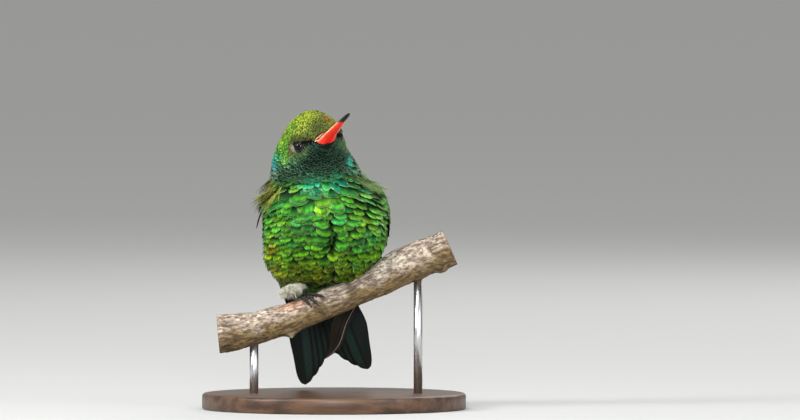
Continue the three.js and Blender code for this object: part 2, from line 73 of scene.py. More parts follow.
camera_data = bpy.data.cameras.new("camera")
camera_data.sensor_width = SENSOR
camera_data.lens = SENSOR * VIEW_DISTANCE / VIEW_WIDTH
camera_data.clip_start, camera_data.clip_end = CLIP
camera = bpy.data.objects.new("camera", camera_data)
camera.location = [
    VIEW_CENTRE[0] * MM,
    (VIEW_CENTRE[1] - VIEW_DISTANCE * math.cos(VIEW_TILT)) * MM,
    (VIEW_CENTRE[2] / math.cos(VIEW_TILT) + VIEW_DISTANCE * math.sin(VIEW_TILT)) * MM,
]
camera.rotation_euler = (math.pi / 2 - VIEW_TILT, 0.0, 0.0)
bpy.context.scene.collection.objects.link(camera)
bpy.context.scene.camera = camera
print("lens", round(camera_data.lens), "mm")

# %% Light
bpy.context.scene.view_settings.view_transform = "Standard"
BIRD_MIDDLE = (0.0, 0.0, 0.045)
WARM, WHITE, COOL = (1.0, 0.98, 0.95), (1.0, 1.0, 1.0), (0.94, 0.97, 1.0)


def soft_lamp(name, place, size, power, colour):
    """A square area lamp at place, turned to face the bird. Sizes and places in metres."""
    data = bpy.data.lights.new(name, "AREA")
    data.shape = "SQUARE"
    data.size = size
    data.energy = power
    data.color = colour
    lamp = bpy.data.objects.new(name, data)
    towards = np.array(BIRD_MIDDLE) - np.array(place)
    level = math.hypot(towards[0], towards[1])
    lamp.location = place
    lamp.rotation_euler = (
        math.pi / 2 + math.atan2(towards[2], level),
        0.0,
        math.atan2(towards[1], towards[0]) - math.pi / 2,
    )
    bpy.context.scene.collection.objects.link(lamp)


for lamp in (
    ("window", (-0.30, -0.55, 0.80), 0.55, 5.4, WARM),
    ("room_fill", (0.7, -0.6, 0.35), 0.6, 3.8, COOL),
    ("back_glow", (0.3, 0.7, 0.6), 0.6, 2.5, WHITE),
    ("left_catch_light", (-0.82, -0.42, 0.44), 0.30, 6.6, COOL),
    ("front_catch_light", (0.0, -0.98, 0.25), 0.24, 5.4, COOL),
):
    soft_lamp(*lamp)
sky = bpy.data.objects.new("sky", bpy.data.lights.new("sky", "SUN"))
sky.data.energy = 0.5
sky.data.angle = 60 * DEG
sky.rotation_euler = (25 * DEG, 0.0, -20 * DEG)
bpy.context.scene.collection.objects.link(sky)

world = bpy.data.worlds.new("studio")
world.use_nodes = True
room = world.node_tree.nodes["Background"].inputs
room["Color"].default_value = (0.80, 0.81, 0.80, 1.0)
room["Strength"].default_value = 0.50
bpy.context.scene.world = world
print("lamps:", len(bpy.data.lights))

# %% [markdown]
# ## Curves and meshes from arrays
#
# Two small tools carry the whole notebook. The first draws a smooth curve through a row of
# numbers. The second turns an array of points and an array of corner numbers into a Blender
# mesh in one step, without a loop over vertices, and hangs the colours and the maps on it.

# %% Smooth curves


def mix(a, b, share):
    return a + (b - a) * share


def smooth_step(low, high, x):
    """0 below low, 1 above high, and 3 t^2 - 2 t^3 between them."""
    t = np.clip((x - low) / (high - low), 0.0, 1.0)
    return t * t * (3.0 - 2.0 * t)


def bump_at(x, middle, width):
    """A bell: 1 at the middle, falling as exp(-d^2)."""
    return np.exp(-(((x - middle) / width) ** 2))


def unit(v):
    return v / np.maximum(np.linalg.norm(v, axis=-1, keepdims=True), 1e-12)


def turns(count):
    """Equal steps once round a circle, in radians."""
    return np.linspace(0, 2 * np.pi, count, endpoint=False)


def through(values, at):
    """A cubic through values that stand one apart. Each span's end slopes are half the
    difference of the neighbouring values."""
    values = np.asarray(values, float)
    at = np.asarray(at, float)
    slopes = np.gradient(values, axis=0)
    i = np.clip(np.floor(at).astype(int), 0, len(values) - 2)
    t = (at - i).reshape(at.shape + (1,) * (values.ndim - 1))
    t2 = t * t
    t3 = t2 * t
    return (
        values[i] * (2 * t3 - 3 * t2 + 1)
        + slopes[i] * (t3 - 2 * t2 + t)
        + values[i + 1] * (3 * t2 - 2 * t3)
        + slopes[i + 1] * (t3 - t2)
    )


def linear(colour):
    """Screen colour, 0 to 1, as the linear light that a shader wants."""
    c = np.asarray(colour, float)
    return np.where(c <= 0.04045, c / 12.92, ((c + 0.055) / 1.055) ** 2.4)


def stained(tint, colour, share):
    """Linear tints moved towards a screen colour by share."""
    return mix(tint, linear(colour), share[..., None])


print("halfway between the first two of 0, 1, 4:", through([0, 1, 4], 0.5))

# %% From arrays to meshes


def circle(one, other, turn):
    """For each pair of directions at right angles, the unit circle's points at the turns."""
    return one[:, None] * np.cos(turn)[:, None] + other[:, None] * np.sin(turn)[:, None]


def put_values(layer, key, values):
    layer.foreach_set(key, np.asarray(values, np.float32).ravel())


def put_tint(mesh, tint):
    """A linear colour for each point, under the name that the finishes read."""
    rgba = np.concatenate([tint, np.ones((len(tint), 1))], axis=1)
    put_values(mesh.attributes.new("tint", "FLOAT_COLOR", "POINT").data, "color", rgba)


def make_mesh(name, points, faces, tint=None, maps=None, flat=None, numbers=None):
    """A mesh of points in millimetres. faces is an array of corner numbers, or a list of such
    arrays. tint is a linear colour for each point, maps holds UV maps by name, numbers holds
    one number for each point by name, and flat marks the faces without smooth shading."""
    groups = faces if isinstance(faces, list) else [faces]
    sizes = np.concatenate([np.full(len(g), g.shape[1]) for g in groups])
    corners = np.concatenate([g.ravel() for g in groups])
    mesh = bpy.data.meshes.new(name)
    mesh.vertices.add(len(points))
    put_values(mesh.vertices, "co", points * MM)
    mesh.loops.add(len(corners))
    mesh.loops.foreach_set("vertex_index", corners.astype(np.int32))
    mesh.polygons.add(len(sizes))
    starts = np.concatenate([[0], np.cumsum(sizes)[:-1]])
    mesh.polygons.foreach_set("loop_start", starts.astype(np.int32))
    smooth = np.ones(len(sizes), bool) if flat is None else ~flat
    mesh.polygons.foreach_set("use_smooth", smooth)
    mesh.update(calc_edges=True)
    if tint is not None:
        put_tint(mesh, tint)
    for key, values in (numbers or {}).items():
        put_values(mesh.attributes.new(key, "FLOAT", "POINT").data, "value", values)
    for key, values in (maps or {}).items():
        put_values(mesh.uv_layers.new(name=key).uv, "vector", values[corners])
    return mesh


def make_piece(name, mesh, material, stands_for=()):
    """Puts a mesh into the scene as a piece of the bird, with its finish and its CAD nodes."""
    piece = bpy.data.objects.new(name, mesh)
    mesh.materials.append(material)
    bpy.context.scene.collection.objects.link(piece)
    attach(piece, "root")
    if stands_for:
        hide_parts(*stands_for)
    triangles = sum(len(p.vertices) - 2 for p in mesh.polygons)
    print(f"{name}: {triangles} triangles")


def make_solid(name, points, faces, finish, slot, stands_for=(), **layers):
    """A piece straight from its arrays. layers are make_mesh's tint, maps and flat."""
    make_piece(name, make_mesh(name, points, faces, **layers), finish, stands_for)


def tube_faces(along, around):
    """Quads of a closed tube of rings, and a fan over each end. The two middle points of the
    ends follow the rings."""
    i, j = np.meshgrid(np.arange(along), np.arange(around), indexing="ij")
    a = i * around + j
    b = i * around + (j + 1) % around
    quads = np.stack([a, b, b + around, a + around], -1).reshape(-1, 4)
    k = np.arange(around)
    turned = (k + 1) % around
    start = (along + 1) * around
    low = np.stack([np.full(around, start), turned, k], -1)
    high = np.stack([np.full(around, start + 1), along * around + k, along * around + turned], -1)
    return quads, np.concatenate([low, high])


def closed_tube(rings):
    """Points of rings shaped (along + 1, around, 3) with the middle of each end added."""
    ends = np.stack([rings[0].mean(0), rings[-1].mean(0)])
    return np.concatenate([rings.reshape(-1, 3), ends])


def facing_out(points, quads):
    """Quads turned over if the volume they enclose is negative."""
    a, b, c, d = (points[quads[:, k]] for k in range(4))
    volume = (np.einsum("ij,ij->i", a, np.cross(b, c)) + np.einsum("ij,ij->i", a, np.cross(c, d))).sum()
    return quads if volume > 0 else quads[:, ::-1]


def solid_tube(rings):
    """The points of a closed tube of rings, and its faces turned outward."""
    points = closed_tube(rings)
    quads, caps = tube_faces(len(rings) - 1, rings.shape[1])
    if facing_out(points, quads) is not quads:
        quads, caps = quads[:, ::-1], caps[:, ::-1]
    return points, [quads, caps]


def sheet_faces(shape):
    """Quads of a grid of points, and the corner numbers once round its rim."""
    index = np.arange(shape[0] * shape[1]).reshape(shape)
    quads = np.stack([index[:-1, :-1], index[1:, :-1], index[1:, 1:], index[:-1, 1:]], -1)
    rim = np.concatenate([index[0, :-1], index[:-1, -1], index[-1, :0:-1], index[:0:-1, 0]])
    return quads.reshape(-1, 4), rim


def joined(parts):
    """Several (points, faces, ...) as one array of points and one of each kind of faces."""
    points, *kinds = zip(*parts)
    firsts = np.cumsum([0] + [len(p) for p in points])
    faces = [np.concatenate([f + first for f, first in zip(kind, firsts)]) for kind in kinds]
    return np.concatenate(points), faces


print("a tube of 3 rings of 4 points has", sum(map(len, tube_faces(2, 4))), "faces")


# %% [markdown]
# ## Finishes
#
# A finish is a small graph of nodes. The helpers below name the few kinds used here, so that
# a finish reads as a list of what the surface has: its own colour, a mottle, a bump.

# %% Node helpers


class Finish:
    """A material with a few short ways to add nodes to it."""

    def __init__(self, name, roughness=0.5, metallic=0.0, specular=0.5):
        self.material = bpy.data.materials.new(name)
        self.material.use_nodes = True
        self.tree = self.material.node_tree
        self.shader = self.tree.nodes["Principled BSDF"]
        self.shader.inputs["Roughness"].default_value = roughness
        self.shader.inputs["Metallic"].default_value = metallic
        self.shader.inputs["Specular IOR Level"].default_value = specular

    def put(self, value, socket):
        """A socket's link, or its plain value."""
        if isinstance(value, bpy.types.NodeSocket):
            self.tree.links.new(value, socket)
        elif isinstance(value, (tuple, list, np.ndarray)) and len(value) == 3:
            socket.default_value = (*value, 1.0) if socket.type == "RGBA" else tuple(value)
        else:
            socket.default_value = value

    def node(self, kind, values=(), **settings):
        made = self.tree.nodes.new(kind)
        for key, value in settings.items():
            setattr(made, key, value)
        for key, value in dict(values).items():
            self.put(value, made.inputs[key])
        return made

    def attribute(self, name, output="Color"):
        return self.node("ShaderNodeAttribute", attribute_name=name).outputs[output]

    def uv(self, name):
        return self.node("ShaderNodeUVMap", uv_map=name).outputs["UV"]

    def place(self):
        return self.node("ShaderNodeTexCoord").outputs["Object"]

    def stretched(self, vector, scale):
        values = {"Vector": vector, "Scale": scale}
        return self.node("ShaderNodeMapping", values).outputs["Vector"]

    def noise(self, vector, scale, detail=3.0, roughness=0.55):
        values = {"Vector": vector, "Scale": scale, "Detail": detail, "Roughness": roughness}
        return self.node("ShaderNodeTexNoise", values).outputs["Fac"]

    def cells(self, vector, scale, feature="F1"):
        values = {"Vector": vector, "Scale": scale}
        return self.node("ShaderNodeTexVoronoi", values, feature=feature).outputs["Distance"]

    def sum(self, operation, a, b=0.0):
        return self.node("ShaderNodeMath", {0: a, 1: b}, operation=operation).outputs[0]

    def between(self, value, low, high, to_low=0.0, to_high=1.0):
        """value from low to high, smoothly, as to_low to to_high."""
        values = {"Value": value, "From Min": low, "From Max": high}
        values |= {"To Min": to_low, "To Max": to_high}
        made = self.node("ShaderNodeMapRange", values, interpolation_type="SMOOTHSTEP")
        return made.outputs["Result"]

    def blend(self, share, a, b, how="MIX"):
        made = self.node("ShaderNodeMix", data_type="RGBA", blend_type=how)
        self.put(share, made.inputs[0])
        self.put(a, made.inputs[6])
        self.put(b, made.inputs[7])
        return made.outputs[2]

    def split(self, vector):
        return self.node("ShaderNodeSeparateXYZ", {"Vector": vector}).outputs

    def colour(self, value):
        self.put(value, self.shader.inputs["Base Color"])

    def roughness(self, value):
        self.put(value, self.shader.inputs["Roughness"])

    def relief(self, height, depth_mm, strength=1.0):
        values = {"Height": height, "Distance": depth_mm * MM, "Strength": strength}
        bump = self.node("ShaderNodeBump", values)
        self.put(bump.outputs["Normal"], self.shader.inputs["Normal"])


print("node helpers:", ", ".join(name for name in vars(Finish) if name[0] != "_"))

# %% [markdown]
# ## The body's own surface
#
# The bird is a row of slanted rings from the bill's base, station 0, to the end of the tail
# coverts, station 15. At each station a front and a back point and a half width are given, and
# an angle runs round: 0 is the middle of the breast, a quarter turn the bird's left side, a
# half turn the middle of the back. So a feather's root needs just two numbers, and "towards
# the tail" is simply a growing station. The skin and each feather are read off this surface.

# %% Body surface
# Forward and height of the back line, the same of the front line, half width, where the
# broadest line runs, and the middle's own X.
BODY_STATIONS = np.array([
    [15.2, 69.1, 16.1, 66.6, 1.9, 0.5, -5.3],  # bill base
    [13.7, 71.7, 16.0, 64.9, 4.3, 0.5, -5.9],
    [11.0, 74.0, 15.4, 63.2, 6.1, 0.5, -6.2],  # over the eyes
    [7.2, 75.1, 14.8, 61.7, 7.2, 0.5, -6.0],
    [3.2, 74.0, 14.4, 60.3, 7.9, 0.48, -5.6],
    [0.0, 70.8, 14.1, 59.0, 8.7, 0.47, -5.3],  # back of the head
    [-2.0, 66.4, 13.9, 57.6, 9.9, 0.46, -5.0],
    [-4.2, 61.4, 13.9, 55.6, 11.5, 0.46, -4.3],  # neck
    [-7.6, 56.4, 14.4, 52.6, 13.8, 0.48, -2.9],
    [-11.3, 51.2, 14.6, 48.2, 15.4, 0.48, -2.0],  # shoulders and breast
    [-13.8, 45.6, 13.6, 43.4, 15.7, 0.46, -2.0],
    [-14.9, 40.4, 11.2, 38.8, 15.2, 0.44, -2.5],
    [-14.9, 36.4, 7.6, 34.8, 13.0, 0.42, -3.9],  # rump and lower belly
    [-14.4, 33.6, 2.6, 31.8, 8.8, 0.42, -5.2],
    [-14.2, 31.0, -4.6, 29.6, 6.2, 0.45, -5.5],
    [-14.9, 28.2, -8.6, 26.4, 4.9, 0.5, -4.6],  # end of the tail coverts
])
LAST_STATION = 15.0
HEAD_TURN = 21.5 * DEG
HEAD_ROLL = 11 * DEG
HEAD_PIVOT = 7.5
TURN_FADES = (5.0, 9.5)
TAIL_LEAN = 14 * DEG
LEAN_GROWS = (11.5, 14.5)


def placed(at, side, forward, height, row):
    """A point of the bird's middle plane, rolled about the station's middle, then turned
    about the upright line through the neck, with its station's own X added."""
    middle = (row[..., 1] + row[..., 3]) / 2
    head = 1 - smooth_step(*TURN_FADES, at)
    roll = HEAD_ROLL * head + TAIL_LEAN * smooth_step(*LEAN_GROWS, at)
    turn = HEAD_TURN * head
    up = height - middle
    rolled_side = side * np.cos(roll) - up * np.sin(roll)
    rolled_up = up * np.cos(roll) + side * np.sin(roll)
    ahead = forward - HEAD_PIVOT
    x = row[..., 6] + rolled_side * np.cos(turn) + ahead * np.sin(turn)
    y = -(HEAD_PIVOT + ahead * np.cos(turn) - rolled_side * np.sin(turn))
    return np.stack([x, y, middle + rolled_up], -1)


def body_point(at, angle):
    """The outline at a station: the sine of the angle spreads it to the sides, and the cosine
    moves it between the front and the back line."""
    at, angle = np.broadcast_arrays(np.asarray(at, float), np.asarray(angle, float))
    row = through(BODY_STATIONS, at)
    rise = -np.cos(angle)
    wide = row[..., 5]
    share = wide + rise * np.where(rise < 0, wide, 1 - wide)
    forward = mix(row[..., 2], row[..., 0], share)
    height = mix(row[..., 3], row[..., 1], share)
    return placed(at, row[..., 4] * np.sin(angle), forward, height, row)


def normals_of(surface, p, q):
    """The unit cross product of a surface's two directions, by small differences."""
    step = 0.02
    along = surface(p + step, q) - surface(p - step, q)
    across = surface(p, q + step) - surface(p, q - step)
    return unit(np.cross(along, across))


body_length = body_point(0.0, math.pi)[2] - body_point(LAST_STATION, math.pi)[2]
print("height of the feathered body", round(float(body_length), 1), "mm")

# %% Where the eyes are
EYE_RADIUS = 1.85
EYE_SUNK = 1.5
EYE_PLACES = {"left": (2.3, 80 * DEG), "right": (1.95, -73 * DEG)}
SIDES = {"left": 1, "right": -1}


def eye_frame(at, angle):
    """The eye's middle, the way it looks, the way back along the head, and the third axis."""
    surface = body_point(at, angle)
    out = normals_of(body_point, at, angle)
    back = body_point(at + 0.02, angle) - surface
    back = unit(back - out * (back @ out))
    return surface - out * EYE_SUNK, out, back, np.cross(out, back)


EYES = {name: eye_frame(*place) for name, place in EYE_PLACES.items()}
print("right eye at", EYES["right"][0].round(2))

# %% [markdown]
# ## Perch surface
#
# The perch is needed early, because the belly feathers lie against it. It is a bent bar whose
# radius swells towards its ends, with a knot and a spur on its underside.

# %% Perch surface
PERCH_RADIUS = 3.75
PERCH_SWELLING = 0.0012
PERCH_MIDDLE_Z = 27.1
PERCH_SLOPE = 0.43
PERCH_BEND = (0.003, -0.000065)
PERCH_ENDS = (-29.0, 29.0)


def perch_axis_z(x):
    return PERCH_MIDDLE_Z + PERCH_SLOPE * x + PERCH_BEND[0] * x**2 + PERCH_BEND[1] * x**3


def perch_slope_at(x):
    return PERCH_SLOPE + 2 * PERCH_BEND[0] * x + 3 * PERCH_BEND[1] * x**2


def perch_radius(x, angle):
    """A base radius, a swelling with x squared, a knot and a spur below, a swollen place
    above, and slow waves that fade where the feet stand."""
    below = np.maximum(0.0, -np.sin(angle)) ** 3
    knot = 0.5 * bump_at(x, -12.2, 1.6) * below
    spur = 0.7 * bump_at(x, 25.2, 1.3) * below
    swollen = 0.90 * bump_at(x, 18.0, 6.0) * np.maximum(0.0, np.sin(angle)) ** 2
    waves = 0.12 * np.sin(x * 0.31 + 2 * angle) + 0.08 * np.sin(x * 0.83 - 3 * angle)
    grip = 1 - 0.9 * bump_at(x, 0.0, 9.0)
    return PERCH_RADIUS + PERCH_SWELLING * x * x + knot + spur + swollen + waves * grip


def perch_point(x, angle, lift):
    """Beside the axis at x: angle 0 faces -Y and a quarter turn faces up."""
    slope = perch_slope_at(x)
    steep = np.hypot(1.0, slope)
    r = perch_radius(x, angle) + lift
    up = np.sin(angle) * r
    return np.stack([
        x - up * slope / steep,
        -np.cos(angle) * r,
        perch_axis_z(x) + up / steep,
    ], -1)


def clear_of_perch(points, room):
    """Points that lie inside the perch are pushed out along its radius."""
    x = points[..., 0]
    for _ in range(2):  # the nearest place on the axis, by repeated correction
        slope = perch_slope_at(x)
        off = points[..., 2] - perch_axis_z(x)
        x = x + ((points[..., 0] - x) + off * slope) / (1 + slope**2)
    axis = np.stack([x, np.zeros_like(x), perch_axis_z(x)], -1)
    slope = perch_slope_at(x)
    out = points - axis
    up = (-slope * out[..., 0] + out[..., 2]) / np.hypot(1.0, slope)
    angle = np.arctan2(up, -out[..., 1])
    far = np.linalg.norm(out, axis=-1)
    wanted = perch_radius(x, angle) + room
    near = (far < wanted) & (x > PERCH_ENDS[0]) & (x < PERCH_ENDS[1])
    scale = np.where(near, wanted / np.maximum(far, 1e-6), 1.0)
    return axis + out * scale[..., None]


print("perch radius under the feet", round(float(perch_radius(0.0, 0.0)), 2), "mm")

# %% [markdown]
# ## Form under the feathers
#
# A bird's face isn't an egg. There is a brow ridge over the eye, a hollow round it and a groove
# from it to the corner of the bill, and fluffed plumage has soft swells and one parting where
# two tracts of breast feathers meet. All of it is a height in millimetres, added along the
# surface's normal, so that the skin and the feathers share it.

# %% Face and plumage relief
GAPE_STATION = 0.35
GAPE_ANGLE = 88 * DEG
# Swells and hollows that one side has: height, station and its reach, angle and its reach.
SWELLS = (
    (-0.85, 3.3, 1.6, -2.25, 0.55),  # right side of the crown
    (0.45, 5.7, 0.8, -1.9, 0.4),  # right side of the nape
    (0.60, 1.40, 0.4, 1.32, 0.3),  # before the left eye
    (-0.70, 13.0, 0.7, -0.25, 0.35),  # below the belly
    (0.65, 6.4, 0.9, 1.5, 0.35),  # left side of the neck
    (-1.10, 10.9, 0.7, 0.08, 0.10),  # the parting of the breast
    (-0.70, 11.9, 0.45, 0.40, 0.09),  # and its lower end
    (0.9, 12.7, 0.6, 0.3, 0.5),  # over the perch
    (2.4, 12.7, 0.65, 1.05, 0.45),  # fluffed flank beside the left foot
)
# The same for two hollows of the crown, whose angles run on over the middle of the back.
CROWN_HOLLOWS = ((-0.70, 3.0, 1.4, -2.8, 0.5), (-0.20, 2.2, 0.7, -3.0, 0.35))


def angle_off(angle, middle):
    """The signed turn from middle to angle, within half a turn."""
    return (angle - middle + np.pi) % (2 * np.pi) - np.pi


def folded(angle):
    """The angle from the breast's middle line, without its sign."""
    return np.abs(angle_off(angle, 0.0))


def lore_line(at):
    """The angle of the line from the corner of the bill to the eye."""
    eye_at, eye_angle = EYE_PLACES["right"]
    share = (at - GAPE_STATION) / (eye_at - GAPE_STATION)
    return mix(GAPE_ANGLE, -eye_angle, np.clip(share, 0.0, 1.0))


def relief(at, angle):
    """Millimetres along the normal: a sum of bells in station and angle, and of soft waves."""
    turned = angle_off(angle, 0.0)
    side = np.abs(turned)
    before_eye = smooth_step(0.2, 0.8, at) * (1 - smooth_step(2.6, 3.6, at))
    height = 0.36 * before_eye * bump_at(side, lore_line(at) + 0.27, 0.15)  # brow
    height = height - 0.30 * before_eye * bump_at(side, lore_line(at), 0.13)  # lore
    height = height + 0.25 * bump_at(at, 3.2, 1.3) * bump_at(side, 0.85, 0.35)  # cheek
    for tall, station, length, middle, reach in SWELLS:
        height = height + tall * bump_at(at, station, length) * bump_at(turned, middle, reach)
    for tall, station, length, middle, reach in CROWN_HOLLOWS:
        off = angle_off(angle, middle)
        height = height + tall * bump_at(at, station, length) * bump_at(off, 0.0, reach)
    height = height - 0.45 * bump_at(at, 6.5 + 0.9 * smooth_step(0.1, 1.5, side), 0.4)  # neck
    swells = 0.20 * np.sin(5 * angle + 1.3 * at) * np.sin(2.1 * at + 2 * angle)
    return height + smooth_step(8.0, 9.5, at) * swells


ROW_SHIFT = 1.05


def row_station(row, angle):
    """The station of a feather row. Rows run level round the breast, so that at the sides of
    the neck a row lies a station further on than at the throat."""
    grows = smooth_step(3.0, 6.4, row) * (1 - 0.7 * smooth_step(7.5, 11.0, row))
    return row + ROW_SHIFT * grows * smooth_step(0.1, 1.5, folded(angle))


def row_of(at, angle):
    """The row that passes through a station and an angle, by repeated correction."""
    row = np.array(at, float)
    for _ in range(8):
        row = row + at - row_station(row, angle)
    return row


def coat_surface(row, angle):
    """The plumage's outer surface and its normals."""
    at = row_station(row, angle)
    normals = normals_of(body_point, at, angle)
    return body_point(at, angle) + normals * relief(at, angle)[..., None], normals


def coat_depth(row):
    """How far the skin lies below the feather tips: little on the face, most on the belly."""
    return 0.28 + 0.22 * smooth_step(2.0, 4.8, row) + 0.85 * smooth_step(4.9, 7.2, row)


print("coat depth, face and belly:", [round(float(coat_depth(row)), 2) for row in (1.0, 10.0)], "mm")

# %% [markdown]
# ## Markings
#
# One function holds the bird's colour pattern, and both the skin and the feathers ask it. It
# works in rows and angles: a golden-green crown that is bronze near the bill, a dark line
# from bill to eye, a white spot behind the eye, a near-black throat with blue-green sides, and
# a breast that runs from sea green through grass green to olive, with painted shade where the
# belly turns under. Real plumage isn't even, so a short list of patches, each with a place and
# a radius, breaks the ramps up, and three of them are painted light on the bird's left flank.

# %% Markings
PAINT = {
    "crown": (0.60, 0.66, 0.15),
    "nape": (0.36, 0.56, 0.20),
    "moss": (0.38, 0.43, 0.15),
    "bronze": (0.50, 0.34, 0.12),
    "brow": (0.15, 0.18, 0.03),
    "head_side": (0.29, 0.58, 0.13),
    "back": (0.38, 0.52, 0.15),
    "rump": (0.27, 0.52, 0.22),
    "throat": (0.010, 0.100, 0.055),
    "throat_side": (0.06, 0.23, 0.15),
    "cheek": (0.46, 0.60, 0.34),
    "lore": (0.03, 0.03, 0.02),
    "white": (0.88, 0.85, 0.84),
    "fawn": (0.50, 0.38, 0.27),
    "turquoise": (0.14, 0.62, 0.52),
    "lilac": (0.42, 0.52, 0.52),
    "plum": (0.24, 0.27, 0.23),
    "fern": (0.22, 0.50, 0.19),
    "sea_green": (0.11, 0.56, 0.36),
    "teal": (0.17, 0.47, 0.28),
    "lime": (0.50, 0.72, 0.16),
    "grass": (0.27, 0.58, 0.14),
    "leaf": (0.36, 0.58, 0.08),
    # painted shade for the underside of the belly
    "shade": (0.28, 0.36, 0.06),
    "olive": (0.42, 0.50, 0.04),
    "gold": (0.60, 0.57, 0.06),
    "barbs": (0.48, 0.46, 0.26),
    "mint_painted_light": (0.52, 0.78, 0.46),
}
PAINT = {name: np.array(value) for name, value in PAINT.items()}

# Irregular patches: a paint, its row, its angle in degrees, its radius and its strength.
PATCHES = (
    ("crown", 2.0, -165, 2.6, 0.9),
    ("head_side", 3.0, -128, 1.8, 0.8),
    ("moss", 2.6, 145, 3.4, 0.7),
    ("bronze", 1.7, 138, 2.0, 0.9),
    ("brow", 0.8, 180, 2.4, 0.75),
    ("lime", 4.4, -108, 1.2, 0.6),
    ("lime", 4.5, -80, 0.8, 0.6),
    ("turquoise", 5.1, -103, 2.5, 1.5),
    ("lilac", 5.5, -91, 1.5, 1.1),
    ("turquoise", 5.3, 63, 2.1, 1.4),
    ("lilac", 5.9, 76, 1.9, 1.3),
    ("plum", 5.7, 38, 2.2, 0.8),
    ("plum", 5.9, -98, 1.4, 0.9),
    ("sea_green", 6.7, -14, 2.8, 1.2),
    ("sea_green", 6.7, 20, 2.8, 1.2),
    ("sea_green", 7.3, 50, 2.0, 0.6),
    # Painted light: these two paler patches brighten the bird's left flank, as where the light catches
    # it.
    ("mint_painted_light", 8.8, 66, 3.4, 0.9),
    ("mint_painted_light", 7.5, 50, 2.6, 0.8),
    ("lime", 6.9, -44, 2.0, 0.7),
    ("lime", 8.4, -3, 2.2, 0.85),
    ("teal", 9.3, -26, 2.6, 0.7),
    ("leaf", 8.9, -46, 2.4, 0.7),
    ("sea_green", 9.0, 18, 2.0, 0.6),
    # Painted light: this broad lime patch also brightens the left flank.
    ("lime", 8.8, 42, 3.8, 1.0),
    ("teal", 10.2, 38, 2.8, 0.5),
    ("lime", 9.3, -58, 2.6, 0.7),
    ("gold", 10.6, -62, 2.6, 0.9),
    ("gold", 11.9, -60, 1.8, 0.8),
    ("lime", 11.1, 10, 2.0, 0.6),
    ("sea_green", 11.6, 38, 1.4, 0.7),
)
# Paints of the underside and of the back by row, the row and degrees of the line between the
# two, and of the pale streak below the eye.
# The paint named shade, at row 13.1, is painted shade where the belly turns under towards the perch.
BELOW = (
    (0, "throat"), (5.3, "throat"), (6.2, "fern"), (7.4, "fern"), (8.4, "grass"),
    (10.0, "grass"), (11.2, "leaf"), (12.2, "olive"), (13.1, "shade"), (15, "rump"),
)
ABOVE = (
    (0, "bronze"), (0.5, "moss"), (2.2, "crown"), (3.6, "crown"), (5.4, "nape"),
    (8.0, "nape"), (10, "back"), (12.5, "back"), (14, "rump"),
)
UPPER_LINE = ((0, 1, 2.3, 3.5, 4.6, 5.4, 6.5, 8, 9.5), (86, 80, 70, 70, 83, 90, 94, 100, 108))
STREAK_LINE = ((1.0, 2.2, 3.9, 4.6), (64, 54, 65, 78))


def painted(colours, name, share):
    """Moves colours towards a named paint by share."""
    return mix(colours, PAINT[name], np.clip(share, 0.0, 1.0)[..., None])


def ramp(at, stops):
    """Straight runs of colour between (row, paint) stops."""
    where = [s for s, _ in stops]
    paints = np.array([PAINT[name] for _, name in stops])
    return np.stack([np.interp(at, where, paints[:, k]) for k in range(3)], -1)


def markings(row, angle, points):
    """The screen colour of the plumage at a row and an angle, whose points are given."""
    side = folded(angle)
    upper_line = np.interp(row, *UPPER_LINE) * DEG
    upper = smooth_step(-0.08, 0.10, side - upper_line)
    below, above = ramp(row, BELOW), ramp(row, ABOVE)
    above = painted(above, "head_side", bump_at(side, 1.50, 0.45) * bump_at(row, 3.9, 1.6))
    on_throat = smooth_step(0.6, 1.3, side) * (1 - smooth_step(5.0, 5.8, row))
    below = painted(below, "throat_side", on_throat)
    colours = mix(below, above, upper[..., None])
    over_eye = bump_at(side, upper_line + 0.30, 0.30) * smooth_step(0.2, 1.0, row)
    colours = painted(colours, "brow", 0.95 * over_eye * (1 - smooth_step(2.2, 3.2, row)))
    streak_line = np.interp(row, *STREAK_LINE) * DEG
    streak = smooth_step(0.7, 1.6, row) * (1 - smooth_step(4.3, 4.9, row))
    colours = painted(colours, "cheek", 0.75 * streak * bump_at(side, streak_line, 0.21))
    for paint, at_row, degrees, radius, strength in PATCHES:
        middle = coat_surface(np.array([at_row]), np.array([degrees * DEG]))[0]
        far = np.linalg.norm(points - middle, axis=-1)
        colours = painted(colours, paint, strength * bump_at(far, 0.0, radius))
    shoulder = bump_at(row, 7.1, 0.7) * bump_at(side, 1.5, 0.25)
    colours = painted(colours, "barbs", 0.5 * shoulder)
    # The face.
    lore = bump_at(side, lore_line(row), 0.20) * (1 - smooth_step(1.9, 2.5, row))
    lore = lore * smooth_step(0.0, 0.25, row)
    colours = painted(colours, "lore", 1.2 * lore)
    for middle, out, back, _ in EYES.values():
        seen = middle + out * EYE_SUNK
        rim = np.linalg.norm(points - seen, axis=-1)
        colours = painted(colours, "lore", 1 - smooth_step(1.15, 1.5, rim))
        patch = np.linalg.norm(points - (seen + back * 2.7), axis=-1)
        colours = painted(colours, "fawn", 1.5 * bump_at(patch, 0.0, 1.3))
        spot = np.linalg.norm(points - (seen + back * 1.65 + [0.0, 0.0, 0.25]), axis=-1)
        colours = painted(colours, "white", 1.7 * bump_at(spot, 0.0, 0.68))
    return colours


print("paints:", len(PAINT), "patches:", len(PATCHES))

# %% [markdown]
# ## Skin
#
# One skin runs under all the feathers: head, neck, trunk, the arm of each wing, the thighs and
# the root of the tail. It could be several shells that pass through each other, but a real
# skin has no such seams. So the closed shells are melted into one by Blender's voxel remesh,
# which reads only what is inside and what is outside. The skin is never seen bare, yet it
# closes every chink between feathers with the right colour.

